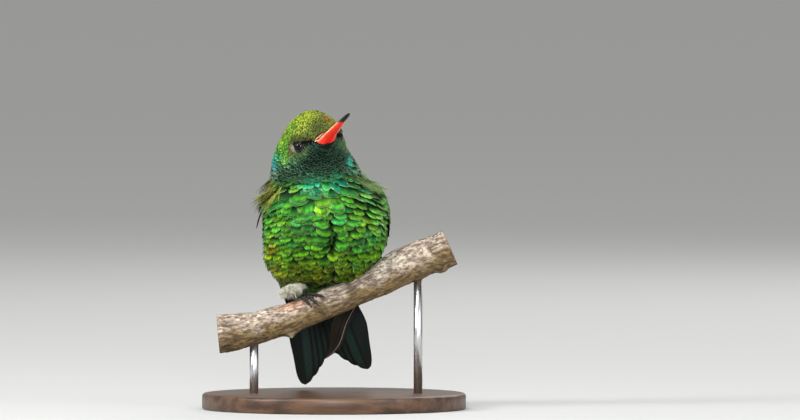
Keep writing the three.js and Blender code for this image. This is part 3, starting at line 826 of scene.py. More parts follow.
# %% Wing surface
# The wing's leading and trailing edge from wrist to tip. A pair of numbers is a station and an
# angle in degrees on the body, and three are a point.
WRIST = [
    [(8.2, 74), (8.0, 96)],
    [(9.2, 86), (8.9, 124)],
    [(10.2, 96), (9.9, 140)],
    [(11.1, 106), (11.0, 150)],
]
WING_EDGES = {
    "left": WRIST + [
        [(12.3, 6.9, 35.8), (5.6, 13.6, 37.4)],
        [(7.9, 8.1, 28.2), (2.6, 9.2, 28.8)],
        [(4.2, 9.9, 21.4), (-1.7, 10.2, 22.0)],
        [(1.9, 12.4, 15.4), (-3.6, 12.7, 15.0)],
        [(-3.0, 14.9, 11.2), (-3.6, 14.8, 11.4)],
    ],
    "right": WRIST + [
        [(-15.6, 8.6, 34.8), (-9.6, 15.8, 37.2)],
        [(-13.0, 13.6, 27.8), (-7.4, 17.6, 29.4)],
        [(-10.6, 17.4, 21.0), (-5.2, 19.6, 22.0)],
        [(-8.2, 20.2, 15.4), (-3.8, 21.3, 15.6)],
        [(-4.4, 22.2, 11.0), (-4.0, 22.3, 11.2)],
    ],
}
WING_BULGE = (1.5, 0.5)
WING_LIFT = -0.15
ARM_ENDS = 0.2


def wing_lines(name):
    """The leading and the trailing edge, each as a row of points."""
    def spot(given):
        if len(given) == 3:
            return np.array(given, float)
        return body_point(given[0], SIDES[name] * given[1] * DEG)

    return [np.array([spot(row[edge]) for row in WING_EDGES[name]]) for edge in (0, 1)]


WING_LINES = {name: wing_lines(name) for name in SIDES}


def wing_surface(name, s, t, lift=0.0):
    """Between the wing's edges: s runs from wrist to tip and t from the leading to the
    trailing edge. A sine across it gives the wing its hollow underside."""
    s, t = np.broadcast_arrays(np.asarray(s, float), np.asarray(t, float))
    leading, trailing = WING_LINES[name]
    last = len(leading) - 1
    front, rear = through(leading, s * last), through(trailing, s * last)
    step = 0.01
    ahead, behind = [through(leading, at * last) + through(trailing, at * last)
                     for at in (s + step, s - step)]
    out = unit(np.cross(ahead - behind, rear - front)) * SIDES[name]
    on_body = 1 - smooth_step(0.3, 0.5, s)
    rise = mix(WING_BULGE[0], WING_BULGE[1], s) * np.sin(np.pi * np.clip(t, -0.2, 1.2))
    high = rise + WING_LIFT * on_body + lift
    return mix(front, rear, t[..., None]) + out * high[..., None], out


span = np.linalg.norm(np.subtract(*[wing_surface("right", s, 0.5)[0] for s in (0.0, 1.0)]))
print("right wing, wrist to tip:", round(float(span), 1), "mm")

# %% Skin shells
THIGHS = {
    "right": ((-10.6, -0.8, 30.2), (3.8, 3.0, 2.2)),
    "left": ((1.4, 1.2, 36.0), (3.2, 2.7, 2.0)),
}
THIGH_DOWN = 0.9  # depth of the down on the thighs


def egg_point(middle, radii, up, around):
    """An egg tilted along the perch: up runs from -1 to 1, around in radians."""
    tilt = math.atan(PERCH_SLOPE)
    flat = np.sqrt(np.maximum(0.0, 1 - up**2))
    x, y, z = flat * np.cos(around) * radii[0], flat * np.sin(around) * radii[1], up * radii[2]
    turned_x = x * math.cos(tilt) - z * math.sin(tilt)
    turned_z = x * math.sin(tilt) + z * math.cos(tilt)
    return np.stack([turned_x, y, turned_z], -1) + np.array(middle)


def skin_shells():
    """Closed tubes: the body inside its coat, two arms and two thighs."""
    along, around = 150, 96
    at = np.linspace(0.0, LAST_STATION, along + 1)[:, None]
    angle = turns(around)[None, :]
    row = row_of(*np.broadcast_arrays(at, angle))
    surface, out = coat_surface(row, angle)
    rings = surface - out * coat_depth(row)[..., None]
    shells = [(closed_tube(rings), *tube_faces(along, around))]
    for name, side in SIDES.items():
        s = np.linspace(0.01, ARM_ENDS + 0.03, 25)[:, None]
        turn = turns(24)[None, :] * side
        t = 0.5 - 0.46 * np.cos(turn)
        lift = 0.38 * np.sin(turn) - 0.35
        rings = wing_surface(name, s, t, lift)[0]
        shells.append((closed_tube(rings), *tube_faces(24, 24)))
        middle, radii = THIGHS[name]
        up = np.linspace(-0.995, 0.995, 21)[:, None]
        turn = turns(28)[None, :]
        rings = egg_point(middle, np.array(radii) - THIGH_DOWN, up, turn)
        shells.append((closed_tube(rings), *tube_faces(20, 28)))
    return joined(shells)


def melted(name, points, faces, voxel):
    """The outside of overlapping closed shells as one mesh, by voxel remesh."""
    shells = bpy.data.objects.new(name, make_mesh(name, points, faces))
    bpy.context.scene.collection.objects.link(shells)
    remesh = shells.modifiers.new("melt", "REMESH")
    remesh.mode = "VOXEL"
    remesh.voxel_size = voxel * MM
    graph = bpy.context.evaluated_depsgraph_get()
    mesh = bpy.data.meshes.new_from_object(shells.evaluated_get(graph))
    bpy.data.objects.remove(shells)
    return mesh


def nearest_on_body(points):
    """The row and the angle of the nearest of a coarse net of body points."""
    at, angle = np.meshgrid(np.linspace(0, LAST_STATION, 76),
                            np.linspace(-np.pi, np.pi, 64, endpoint=False), indexing="ij")
    net = body_point(at, angle).reshape(-1, 3)
    found = np.empty(len(points), int)
    for first in range(0, len(points), 4096):
        some = points[first:first + 4096]
        far = (some**2).sum(1)[:, None] - 2 * some @ net.T + (net**2).sum(1)
        found[first:first + 4096] = far.argmin(1)
    at, angle = at.ravel()[found], angle.ravel()[found]
    return row_of(at, angle), angle


def with_sockets(points):
    """Points in front of an eyeball are moved back behind it, along the way it looks."""
    room = EYE_RADIUS + 0.08
    for middle, out, _, _ in EYES.values():
        off = points - middle
        depth = off @ out
        across = np.linalg.norm(off - depth[:, None] * out, axis=1)
        floor = -np.sqrt(np.maximum(0.0, room**2 - across**2))
        inside = (across < room) & (depth > floor) & (depth < EYE_RADIUS + 2)
        points = points - np.where(inside, depth - floor, 0.0)[:, None] * out
    return points


SKIN_VOXEL = 0.38
SKIN_DARKNESS = 0.45  # of the plumage's own colour
SKIN_UNDER_DOWN = (0.80, 0.78, 0.72)
skin_points, skin_faces = skin_shells()
skin_mesh = melted("bird_skin", skin_points, skin_faces, SKIN_VOXEL)
co = np.empty(len(skin_mesh.vertices) * 3, np.float32)
skin_mesh.vertices.foreach_get("co", co)
skin_points = clear_of_perch(with_sockets(co.reshape(-1, 3) / MM), 0.06)
put_values(skin_mesh.vertices, "co", skin_points * MM)
skin_mesh.polygons.foreach_set("use_smooth", np.ones(len(skin_mesh.polygons), bool))
skin_row, skin_angle = nearest_on_body(skin_points)
skin_tint = SKIN_DARKNESS * linear(markings(skin_row, skin_angle, skin_points))
for middle, radii in THIGHS.values():
    on_thigh = np.linalg.norm(skin_points - np.array(middle), axis=1) < radii[0] + 0.3
    skin_tint[on_thigh] = linear(SKIN_UNDER_DOWN)
put_tint(skin_mesh, skin_tint)

skin_finish = Finish("skin", roughness=0.75, specular=0.3)
pores = skin_finish.noise(skin_finish.place(), 2600.0)
skin_finish.colour(skin_finish.blend(
    skin_finish.between(pores, 0.35, 0.7, 0.0, 0.4),
    skin_finish.attribute("tint"), (0.01, 0.012, 0.008),
))
skin_finish.relief(pores, 0.05)
make_piece("bird_skin", skin_mesh, skin_finish.material,
           ["head", "neck", "trunk", "tail_coverts", "wing_left_arm", "wing_right_arm",
            "thigh_left", "thigh_right"])

# %% [markdown]
# ## How one feather is made
#
# A body feather of a hummingbird is a small rounded scale. Only its last third shows, and the
# rest is covered by the row before. It is modelled as a thin closed lens: a curved top with a
# round free edge, and an underside just below it. The same template is laid thousands of times
# by moving its grid over the body's surface. Each of its points asks the surface where it is,
# so that every feather wraps round the form below it.

# %% The feather's template


SCALE_TIP = 0.4  # the share of a feather that is its round end
SCALE_NARROW = 0.55  # breadth at the root


def scale_template(rows, columns):
    """A grid whose far end is a half disc. along runs from 0 at the root to 1, across from -1
    to 1. A square grid becomes a disc by scaling each side with sqrt(1 - other^2 / 2). The
    underside is a fan from one middle point to the rim."""
    s, t = np.meshgrid(np.linspace(0, 1, rows + 1) ** 0.85, np.linspace(-1, 1, columns + 1),
                       indexing="ij")
    straight = 1 - SCALE_TIP
    end = np.clip((s - straight) / SCALE_TIP, 0, 1)
    along = np.minimum(s, straight) + SCALE_TIP * end * np.sqrt(1 - t**2 / 2)
    across = t * np.sqrt(1 - end**2 / 2) * mix(SCALE_NARROW, 1, smooth_step(0, straight, s))
    round_edge = np.sqrt(np.clip(end**2 + t**2 - end**2 * t**2, 0, 1))
    upper, rim = sheet_faces(s.shape)
    fan = np.stack([rim, np.roll(rim, -1), np.full(len(rim), s.size)], -1)
    return {
        "along": np.append(along, 0.5),
        "across": np.append(across, 0.0),
        "edge": np.append(np.where(end > 0, round_edge, np.abs(t)), 0.0),
        "under": np.arange(s.size + 1) == s.size,
        "quads": upper,
        "triangles": fan,
    }


BIG_SCALE = scale_template(6, 6)
MIDDLE_SCALE = scale_template(5, 4)
for template in (BIG_SCALE, MIDDLE_SCALE):
    print("a feather has", len(template["along"]), "points and",
          len(template["quads"]) + len(template["triangles"]), "faces")

# %% Laying feathers
VANE_THICKNESS = 0.05
BAKE_PATCH = 0.003  # the breadth of a feather on the unwrapped skin, which is 1 broad


def lay(surface, p, q, template, length, width, yaw, root, tip, camber, curl=0.0, roll=0.0,
        ragged=0.0):
    """Feathers on a surface, as points shaped (feathers, template points, 3). p and q are the
    roots, +p is the way they point. A template point lies length * along ahead of its root and
    width / 2 * across beside it, both turned by yaw, and is lifted from root to tip height as
    along^0.8, less camber * across^2, with a curl of along^4 at the end. ragged shakes the
    points of the free rim."""
    p, q, length, width, yaw, root, tip, camber, curl, roll = [
        np.broadcast_to(np.asarray(v, float), np.shape(p))[:, None]
        for v in (p, q, length, width, yaw, root, tip, camber, curl, roll)
    ]
    step = 0.01
    ahead = surface(p + step, q)[0] - surface(p - step, q)[0]
    beside = surface(p, q + step)[0] - surface(p, q - step)[0]
    per_p = np.linalg.norm(ahead, axis=-1) / (2 * step)
    per_q = np.linalg.norm(beside, axis=-1) / (2 * step)
    along, across = template["along"], template["across"]
    torn = rng.uniform(-1, 0.6, (len(p), len(along)))
    along = along * (1 + ragged * torn * (template["edge"] > 0.9) * (along > 0.5))
    forward = along * length * np.cos(yaw) - across * width / 2 * np.sin(yaw)
    sideways = along * length * np.sin(yaw) + across * width / 2 * np.cos(yaw)
    points, normals = surface(p + forward / per_p, q + sideways / per_q)
    lift = mix(root, tip, along**0.8) - camber * across**2 * (0.3 + 0.7 * along)
    lift = lift + curl * along**4 + roll * across - VANE_THICKNESS * template["under"]
    return points + normals * lift[..., None]


def coat_mesh(name, batches):
    """Joins batches of feathers into one mesh. Each batch holds its points, its template, a
    screen colour for each feather, the root's place on the unwrapped skin, and its hand."""
    points, tints, vanes, bakes, edges, seeds = [], [], [], [], [], []
    faces = {"quads": [], "triangles": []}
    first = 0
    for batch in batches:
        shape, place = batch["template"], batch["points"]
        feathers, size = place.shape[:2]
        starts = first + np.arange(feathers)[:, None, None] * size
        for kind, made in faces.items():
            corner = shape[kind] if batch.get("hand", 1) > 0 else shape[kind][:, ::-1]
            made.append((corner[None] + starts).reshape(-1, corner.shape[1]))
        points.append(place.reshape(-1, 3))
        tints.append(np.repeat(linear(np.clip(batch["colour"], 0, 1)), size, axis=0))
        vane = np.stack([shape["across"] / 2 + 0.5, shape["along"]], -1)
        vanes.append(np.tile(vane, (feathers, 1)))
        edges.append(np.tile(shape["edge"] * smooth_step(0.3, 0.6, shape["along"]), feathers))
        seeds.append(np.repeat(rng.uniform(0, 40, feathers), size))
        patch = np.stack([shape["across"] / 2, shape["along"] - 0.5], -1) * BAKE_PATCH
        bakes.append((batch["unwrap"][:, None, :] + patch[None]).reshape(-1, 2))
        first += feathers * size
    quads, triangles = np.concatenate(faces["quads"]), np.concatenate(faces["triangles"])
    return make_mesh(
        name, np.concatenate(points), [quads, triangles], np.concatenate(tints),
        {"OFBake": np.concatenate(bakes), "vane": np.concatenate(vanes)},
        np.arange(len(quads) + len(triangles)) >= len(quads),
        {"edge": np.concatenate(edges), "seed": np.concatenate(seeds)},
    )


def coat_piece(name, batches, finish):
    make_piece(name, coat_mesh(name, batches), finish)


def unwrapped(at, angle):
    """The skin's own unwrap: across by the angle, up by the station, with a margin."""
    turned = ((angle + np.pi) / (2 * np.pi)) % 1.0
    return np.stack([0.01 + 0.98 * turned, 0.01 + 0.98 * at / LAST_STATION], -1)


print("the breast's middle unwraps to", unwrapped(9.0, 0.0).round(2))

# %% [markdown]
# ## The plumage's finish
#
# The greens of a hummingbird are not pigment. Stacks of tiny platelets in the barbs mirror one
# colour, so the feathers gleam like tinted metal. A partly metallic surface comes close. On
# each feather the free rim is a thin paler line, the covered part is dark, its own dark base
# deepened by painted shade under the row above, and barbs fan out from the shaft with dark
# splits between them. The map named vane tells the finish where on its feather it is.

# %% Plumage finish


def plumage(name, metallic, roughness, inner, rim, rim_share, rim_from, streak=0.75, dark=0.92):
    """rim is the pale colour that the free edge leans to, from rim_from outward, streak is how
    strongly the barbs show, and dark is how far the covered root is darkened: the feather's own
    dark base, deepened as painted shade under the row above."""
    made = Finish(name, roughness=roughness, metallic=metallic, specular=0.08)
    tint = made.attribute("tint")
    edge = made.attribute("edge", "Fac")
    vane = made.split(made.uv("vane"))
    # Barbs fan out from a point a quarter of the way up the shaft: stripes of the turn round it.
    across = made.sum("MULTIPLY", made.sum("SUBTRACT", vane["X"], 0.5), 0.85)
    turn = made.sum("ARCTAN2", across, made.sum("SUBTRACT", vane["Y"], 0.25))
    length = made.sum("MULTIPLY", vane["Y"], 0.25)
    values = {"X": turn, "Y": length, "Z": made.attribute("seed", "Fac")}
    fan = made.node("ShaderNodeCombineXYZ", values).outputs["Vector"]
    barbs = made.noise(fan, 5.0, 4.0, 0.75)
    gaps = made.between(barbs, 0.46, 0.60)
    shade = made.sum("MULTIPLY", gaps, made.between(edge, 0.1, 0.9, 0.3 * streak, streak))
    border = made.between(edge, 0.25, 0.85)
    middle = made.blend(border, made.blend(1.0, tint, inner, how="MULTIPLY"), tint)
    split = made.blend(1.0, tint, (0.16, 0.22, 0.22), how="MULTIPLY")
    body = made.blend(shade, middle, split)
    # The rim is never darker than its feather, and black feathers have none.
    rimmed_tint = made.blend(1.0, tint, rim, how="LIGHTEN")
    not_black = made.between(made.split(tint)["Y"], 0.004, 0.014, 0.0, rim_share)
    paler = made.blend(not_black, tint, rimmed_tint)
    on_rim = made.between(edge, rim_from, rim_from + 0.12)
    on_rim = made.sum("MULTIPLY", on_rim, made.between(gaps, 0.0, 1.0, 1.0, 0.45))
    rimmed = made.blend(on_rim, body, paler)
    # The covered root is darkened nearly to black: the feather's dark base, deepened as painted shade
    # under the row above.
    covered = made.between(vane["Y"], 0.50, 0.80, dark, 0.0)
    made.colour(made.blend(covered, rimmed, (0.002, 0.006, 0.002)))
    made.relief(barbs, 0.06, 1.0)
    made.roughness(made.between(barbs, 0.3, 0.7, roughness + 0.08, roughness - 0.05))
    return made.material


green_finish = plumage("green_plumage", 0.22, 0.52, inner=(0.26, 0.40, 0.52),
                       rim=(0.62, 0.78, 0.40), rim_share=0.4, rim_from=0.86, dark=0.88)
fine_finish = plumage("fine_plumage", 0.15, 0.56, inner=(0.55, 0.60, 0.60),
                      rim=(0.45, 0.52, 0.20), rim_share=0.25, rim_from=0.70)
throat_finish = plumage("throat_plumage", 0.15, 0.52, inner=(0.45, 0.5, 0.5),
                        rim=(0.085, 0.17, 0.11), rim_share=0.7, rim_from=0.66, streak=0.4, dark=0.9)
print("plumage finishes:", ", ".join(m.name for m in (green_finish, fine_finish, throat_finish)))

# %% [markdown]
# ## Laying the coat
#
# Rows of roots run round the body like tiles on a roof, each row half a feather out of step
# with the last. The rows stand closest on the face, where feathers are under half a
# millimetre, and farthest on the belly. Small random shifts, turns and lifts keep it natural.

# %% Rows of roots


# Rows, and at each of them the two distances that the functions below give.
SPACING_ROWS = (0, 1.5, 3.5, 4.7, 5.1, 5.6, 6.2, 9, 13, 15)
ROW_STEPS = (0.30, 0.38, 0.48, 0.60, 0.82, 1.22, 1.42, 1.38, 1.18, 1.5)
FEATHER_STEPS = (0.38, 0.48, 0.64, 0.90, 1.40, 2.5, 3.3, 3.1, 2.5, 2.3)


def row_spacing(row):
    """Millimetres between one row and the next."""
    return np.interp(row, SPACING_ROWS, ROW_STEPS)


def feather_spacing(row):
    """Millimetres between neighbours of one row."""
    return np.interp(row, SPACING_ROWS, FEATHER_STEPS)


SECTORS = ((-68, 68), (68, 108), (108, 145), (145, 215), (215, 252), (252, 292))  # degrees
UNDER_HEAD = SECTORS[5:] + SECTORS[:2]
ROW_STEP = 0.05  # the small difference of rows by which slopes are measured


def rows_of_roots(start, end, sectors=SECTORS, close=1.0):
    """Rows and angles of roots. The girth is cut into sectors, because the way over the crown
    is twice as long as the way under the chin, and each sector steps by its own length. Within
    a row the roots stand at equal steps along the girth."""
    rows, turns = [], []
    for low, high in sectors:
        net = np.linspace(low, high, 41) * DEG
        row = start
        number = 0
        while row < end:
            ring, ahead = [coat_surface(np.full(41, r), net)[0] for r in (row, row + ROW_STEP)]
            per_row = np.linalg.norm(ahead - ring, axis=1).mean() / ROW_STEP
            steps = np.linalg.norm(np.diff(ring, axis=0), axis=1)
            travelled = np.concatenate([[0], np.cumsum(steps)])
            count = max(2, int(round(travelled[-1] / feather_spacing(row) / close)))
            wanted = (np.arange(count) + 0.25 + 0.5 * (number % 2)) / count * travelled[-1]
            rows.append(np.full(count, row))
            turns.append(np.interp(wanted, travelled, net))
            row += close * row_spacing(row) / per_row
            number += 1
    return np.concatenate(rows), np.concatenate(turns)


def shaken(count, amount):
    return rng.uniform(-1, 1, count) * amount


def varied(colours, light=0.16, warm=0.10):
    """Each feather a little lighter or darker, and a little yellower or bluer."""
    count = len(colours)
    scale = 1 + shaken(count, light)
    lean = shaken(count, warm)
    shift = np.stack([1 + 1.6 * lean, 1 + 0.3 * lean, 1 - 2.0 * lean], -1)
    return np.clip(colours * scale[:, None] * shift, 0.0, 1.0)


def coat_batch(row, angle, template, wide, over=2.9, light=0.16, warm=0.10, lift=0.10, turn=9,
               close=1.0, face=0.0, blur=0.15, hang=0.0):
    """Feathers at body roots, over and wide times as long and as broad as the spacing of their
    rows. Their colour is read where they show, near their tips, and blur shakes that place.
    light and warm vary it, lift and turn vary how the feather lies, and hang turns it from the
    way to the tail towards straight down."""
    count = len(row)
    step, beside = close * row_spacing(row), close * feather_spacing(row)
    row = row + shaken(count, 0.20) * step / 4.0
    angle = angle + shaken(count, 0.18) * beside / 12.0
    depth = coat_depth(row)
    # Feathers turn away from the parting of the breast.
    off = angle_off(angle, 0.08)
    parting = 0.55 * np.sign(off) * bump_at(row, 9.4, 0.8) * bump_at(off, 0.0, 0.22)
    here = coat_surface(row, angle)[0]
    ahead = coat_surface(row + ROW_STEP, angle)[0] - here
    beside_way = unit(coat_surface(row, angle + 0.02)[0] - here)
    fall = np.arctan2(-beside_way[:, 2], -unit(ahead)[:, 2])
    size = 1 + shaken(count, 0.20)
    length = step * over * (1 + shaken(count, 0.12))
    points = lay(
        coat_surface, row, angle, template, length=length, width=beside * wide * size,
        yaw=face + shaken(count, turn * DEG) + parting + hang * fall,
        root=-0.92 * depth, tip=(0.03 + lift * rng.uniform(0, 1, count)) * depth,
        camber=0.13 * beside * (1 + shaken(count, 0.5)), ragged=0.03,
        curl=shaken(count, 0.08) * step, roll=shaken(count, 0.07) * beside,
    )
    per_row = np.linalg.norm(ahead, axis=-1) / ROW_STEP
    seen = row + 0.8 * math.cos(face) * length / per_row + shaken(count, blur)
    shows = np.argmin(np.abs(template["along"] - 0.85) + np.abs(template["across"]))
    colour = markings(seen, angle + shaken(count, 0.4 * blur), points[:, shows])
    return {
        "points": clear_of_perch(points, 0.08), "template": template,
        "colour": varied(colour, light, warm), "unwrap": unwrapped(row, angle),
    }


def away_from_eyes(row, angle, room):
    """True for roots whose feathers don't cover an eye. Those just before it are left out too,
    because they point at it."""
    roots = coat_surface(row, angle)[0]
    free = np.ones(len(row), bool)
    for middle, out, back, _ in EYES.values():
        off = roots - (middle + out * EYE_SUNK)
        behind = off @ back
        other = np.linalg.norm(off - behind[:, None] * back, axis=1)
        before = np.where(behind < 0, 0.62, 1.0)
        free &= np.hypot(behind * before, other) > room
    return free


print("belly:", feather_spacing(10.0).round(2), "mm between feathers,", row_spacing(10.0).round(2),
      "mm between rows")

# %% Head and neck
HEAD_ROWS = (0.03, 4.7)
HEAD_CLOSE, THROAT_CLOSE, NAPE_CLOSE = 0.86, 1.35, 0.62  # how closely roots stand
EYE_ROOM = 1.32  # millimetres that are kept free of roots round an eye
CHIN_ROWS, CHIN_HALF_ANGLES = (0, 2, 3, 4, 4.7), np.array([1.40, 1.05, 1.12, 1.25, 1.40])


def head_roots(sectors, close, wider):
    """The head's roots outside the eyes, and which of them are the chin's."""
    row, angle = rows_of_roots(*HEAD_ROWS, sectors, close)
    kept = away_from_eyes(row, angle, EYE_ROOM)
    row, angle = row[kept], angle[kept]
    return row, angle, folded(angle) < np.interp(row, CHIN_ROWS, CHIN_HALF_ANGLES + wider)


row, angle, chin = head_roots(SECTORS, HEAD_CLOSE, 0.0)
crown = coat_batch(row[~chin], angle[~chin], MIDDLE_SCALE, wide=1.45, light=0.38, warm=0.06,
                   lift=0.45, close=HEAD_CLOSE)
coat_piece("coat_crown", [crown], fine_finish)

# The throat's feathers are a little wider, so that their rims make wavy lines. Short feathers
# point forward onto the bill's base.
row, angle, chin = head_roots(UNDER_HEAD, THROAT_CLOSE, 0.04)
front_angle = np.repeat(turns(44), 2)
front_row = np.tile([0.50, 0.28], 44)
frontal = coat_batch(front_row, front_angle, MIDDLE_SCALE, over=2.6, wide=1.5, face=np.pi)
chin_feathers = coat_batch(row[chin], angle[chin], MIDDLE_SCALE, wide=1.75, light=0.22, turn=6,
                           lift=0.35, close=THROAT_CLOSE)
coat_piece("coat_chin", [chin_feathers, frontal], throat_finish)

row, angle = rows_of_roots(4.7, 5.35)
throat = folded(angle) < 1.3
coat_piece("coat_throat", [
    coat_batch(row[throat], angle[throat], MIDDLE_SCALE, wide=1.6, lift=0.4, light=0.3, blur=0.4,
               hang=0.5),
], green_finish)
nape_row, nape_angle = rows_of_roots(5.35, 8.6, SECTORS[2:5], close=NAPE_CLOSE)
coat_piece("coat_nape", [
    coat_batch(row[~throat], angle[~throat], MIDDLE_SCALE, wide=1.5, lift=0.3),
    coat_batch(nape_row, nape_angle, MIDDLE_SCALE, wide=1.4, lift=0.3, close=NAPE_CLOSE),
], fine_finish)

# %% Rings of tiny feathers round the eyes
EYE_RING_RADII = (1.02, 1.20, 1.40, 1.62)
EYE_RING_COUNT = 34  # feathers in each ring


def eye_rings(name):
    """Feathers that point away from the eye. Their surface is the coat's, in rings: a radius
    in millimetres and a turn about the eye stand for the row and the angle."""
    side = SIDES[name]
    eye_at, eye_angle = EYE_PLACES[name]
    step = 0.1
    net = np.array([[0, 0], [step, 0], [0, step]]) + [eye_at, eye_angle]
    middle, ahead, beside = coat_surface(net[:, 0], net[:, 1])[0]
    per_row = np.linalg.norm(ahead - middle) / step
    per_turn = np.linalg.norm(beside - middle) / step

    def on_head(radius, turn):
        return (eye_at + radius * np.cos(turn) / per_row,
                eye_angle + side * radius * np.sin(turn) / per_turn)

    def surface(radius, turn):
        return coat_surface(*on_head(radius, turn))

    radius = np.repeat(EYE_RING_RADII, EYE_RING_COUNT)
    turn = np.concatenate([(np.arange(EYE_RING_COUNT) + 0.5 * (k % 2)) / EYE_RING_COUNT * 2 * np.pi
                           for k in range(len(EYE_RING_RADII))])
    count = len(radius)
    points = lay(surface, radius, turn, MIDDLE_SCALE, length=0.85 * (1 + shaken(count, 0.15)),
                 width=0.42, yaw=-0.55 * np.sin(turn), root=-0.22,
                 tip=0.05 + shaken(count, 0.04), camber=0.05)
    row, angle = on_head(radius, turn)
    colour = varied(markings(row, angle, points[:, 22]), 0.2, 0.05)
    return {"points": points, "template": MIDDLE_SCALE, "colour": colour,
            "unwrap": unwrapped(row, angle), "hand": side}


coat_piece("coat_eye_rings", [eye_rings(name) for name in SIDES], fine_finish)

# %% Trunk
row, angle = rows_of_roots(5.35, 13.5)
front = folded(angle) < 1.75
# The feathers of its left side lie flatter.
breast_lift = mix(0.36, 0.18, smooth_step(0.1, 0.8, angle[front]))
coat_piece("coat_breast", [
    coat_batch(row[front], angle[front], BIG_SCALE, wide=1.3, light=0.26, warm=0.13, turn=12,
               lift=breast_lift, blur=0.3, hang=0.75),
], green_finish)
coat_piece("coat_back", [coat_batch(row[~front], angle[~front], BIG_SCALE, wide=1.35)],
           green_finish)
row, angle = rows_of_roots(13.3, 14.9)
coat_piece("coat_tail_coverts", [coat_batch(row, angle, BIG_SCALE, over=3.0, wide=1.5)],
           green_finish)

# %% [markdown]
# ## Down and loose plumes
#
# Two kinds of plumage aren't scales. The thighs wear white down, and over each shoulder hang
# loose barbs that come apart like hair. Both are strands: closed, three-sided tubes that taper
# to a point. A strand follows a parabola, starting along one direction and bending to another.

# %% Strands


def strand_template(steps):
    """Rings of three corners and a tip. along is 0 at the root and 1 at the tip."""
    ring = np.repeat(np.linspace(0, 0.8, steps), 3)
    corner = np.tile(np.arange(3) * 2 * np.pi / 3, steps)
    quads = []
    for k in range(steps - 1):
        for j in range(3):
            i = (j + 1) % 3
            quads.append((3 * k + j, 3 * k + i, 3 * k + 3 + i, 3 * k + 3 + j))
    last = 3 * (steps - 1)
    tips = [(last + j, last + (j + 1) % 3, 3 * steps) for j in range(3)] + [(2, 1, 0)]
    return {
        "along": np.append(ring, 1.0), "corner": np.append(corner, 0.0),
        "quads": np.array(quads), "triangles": np.array(tips),
        "radius": np.append(1 - 0.6 * ring, 0.0),
    }


HAIR = strand_template(5)
STRAND_RADIUS = 0.042
print("a strand has", len(HAIR["along"]), "points")


def strands(roots, start, end, length, radius):
    """Points of strands: root + length * (along * start + along^2 * (end - start) / 2), with
    the corners of each ring set off at a right angle."""
    along = HAIR["along"][None, :, None]
    length = np.broadcast_to(length, len(roots))[:, None, None]
    path = start[:, None] * along + (end - start)[:, None] * along**2 / 2
    spine = roots[:, None] + length * path
    one = unit(np.cross(start, end + 0.01))
    other = unit(np.cross(start, one))
    ring = circle(one, other, HAIR["corner"])
    return spine + ring * (np.broadcast_to(radius, len(roots))[:, None] * HAIR["radius"])[..., None]


def strand_mesh(name, points, colours, unwrap):
    count, size = points.shape[:2]
    starts = np.arange(count)[:, None, None] * size
    faces = [(HAIR[kind][None] + starts).reshape(-1, HAIR[kind].shape[1])
             for kind in ("quads", "triangles")]
    patch = np.stack([0.5 * np.cos(HAIR["corner"]), HAIR["along"] - 0.5], -1) * BAKE_PATCH
    vane = np.stack([np.full(size, 0.5), HAIR["along"]], -1)
    return make_mesh(
        name, points.reshape(-1, 3), faces,
        np.repeat(linear(np.clip(colours, 0, 1)), size, axis=0),
        {"OFBake": (unwrap[:, None] + patch).reshape(-1, 2), "vane": np.tile(vane, (count, 1))},
    )


down_finish = Finish("down", roughness=0.85, specular=0.2)
down_finish.colour(down_finish.attribute("tint"))

# %% White down on the thighs
down_count, down_locks = 2600, 110  # strands on each thigh, and the locks they gather in
for name, (middle, radii) in THIGHS.items():
    lead = rng.integers(0, down_locks, down_count)
    up = np.clip(rng.uniform(-0.98, 0.75, down_locks)[lead] + shaken(down_count, 0.10), -0.99, 0.8)
    turn = rng.uniform(0, 2 * np.pi, down_locks)[lead] + shaken(down_count, 0.12)
    roots = egg_point(middle, np.array(radii) - THIGH_DOWN - 0.1, up, turn)
    out = unit(roots - np.array(middle))
    lock_way = rng.normal(size=(down_locks, 3))[lead]
    down_way = unit(np.array([0.0, -0.15, -0.8]) + 0.45 * lock_way)
    leaving = unit(out + 0.35 * down_way)
    end = unit(0.30 * out + down_way + 0.26 * rng.normal(size=(down_count, 3)))
    length = rng.uniform(0.7, 1.9, down_locks)[lead] * rng.uniform(0.7, 1.15, down_count)
    points = strands(roots, leaving, end, length, STRAND_RADIUS)
    shade = rng.uniform(0.80, 1.0, (down_locks, 1))[lead] * rng.uniform(0.92, 1.0, (down_count, 1))
    colour = shade * np.array([0.94, 0.92, 0.84])
    unwrap = np.stack([0.01 + 0.98 * (turn % (2 * np.pi)) / (2 * np.pi), 0.5 + 0.48 * up], -1)
    down = strand_mesh(f"coat_thigh_{name}", clear_of_perch(points, 0.05), colour, unwrap)
    make_piece(f"coat_thigh_{name}", down, down_finish.material)

# %% Loose plumes over the shoulders
# For each side: how many plumes, the tufts' angles in degrees, how far they stand off, and
# the darkest and the palest colour.
PLUMES = {
    "left": (260, (58, 96), 0.80, (0.12, 0.19, 0.10), (0.62, 0.74, 0.46)),
    "right": (380, (58, 100), 0.66, (0.11, 0.12, 0.04), (0.72, 0.74, 0.30)),
}
TUFTS = 26
plume_points, plume_colours, plume_unwraps = [], [], []


def shoulder_strands(name, roots, lead, way, length, radius):
    """Strands from roots given as rows and angles. way holds how they leave the surface and
    how they end, as shares of its normal, and the spread of each tuft and of each strand."""
    row, angle = roots
    off, droop, spread, loose = way
    angle = SIDES[name] * angle
    surface, out = coat_surface(row, angle)
    ahead = unit(coat_surface(row + ROW_STEP, angle)[0] - surface)
    stray = rng.normal(size=(TUFTS, 1))[lead] * spread * np.cross(out, ahead)
    leaving = unit(ahead + off * out + stray + loose * rng.normal(size=(len(row), 3)))
    end = unit(ahead + droop * out + 1.4 * stray + 2 * loose * rng.normal(size=(len(row), 3)))
    plume_points.append(strands(surface - 0.3 * out, leaving, end, length, radius))
    plume_unwraps.append(unwrapped(row, angle))


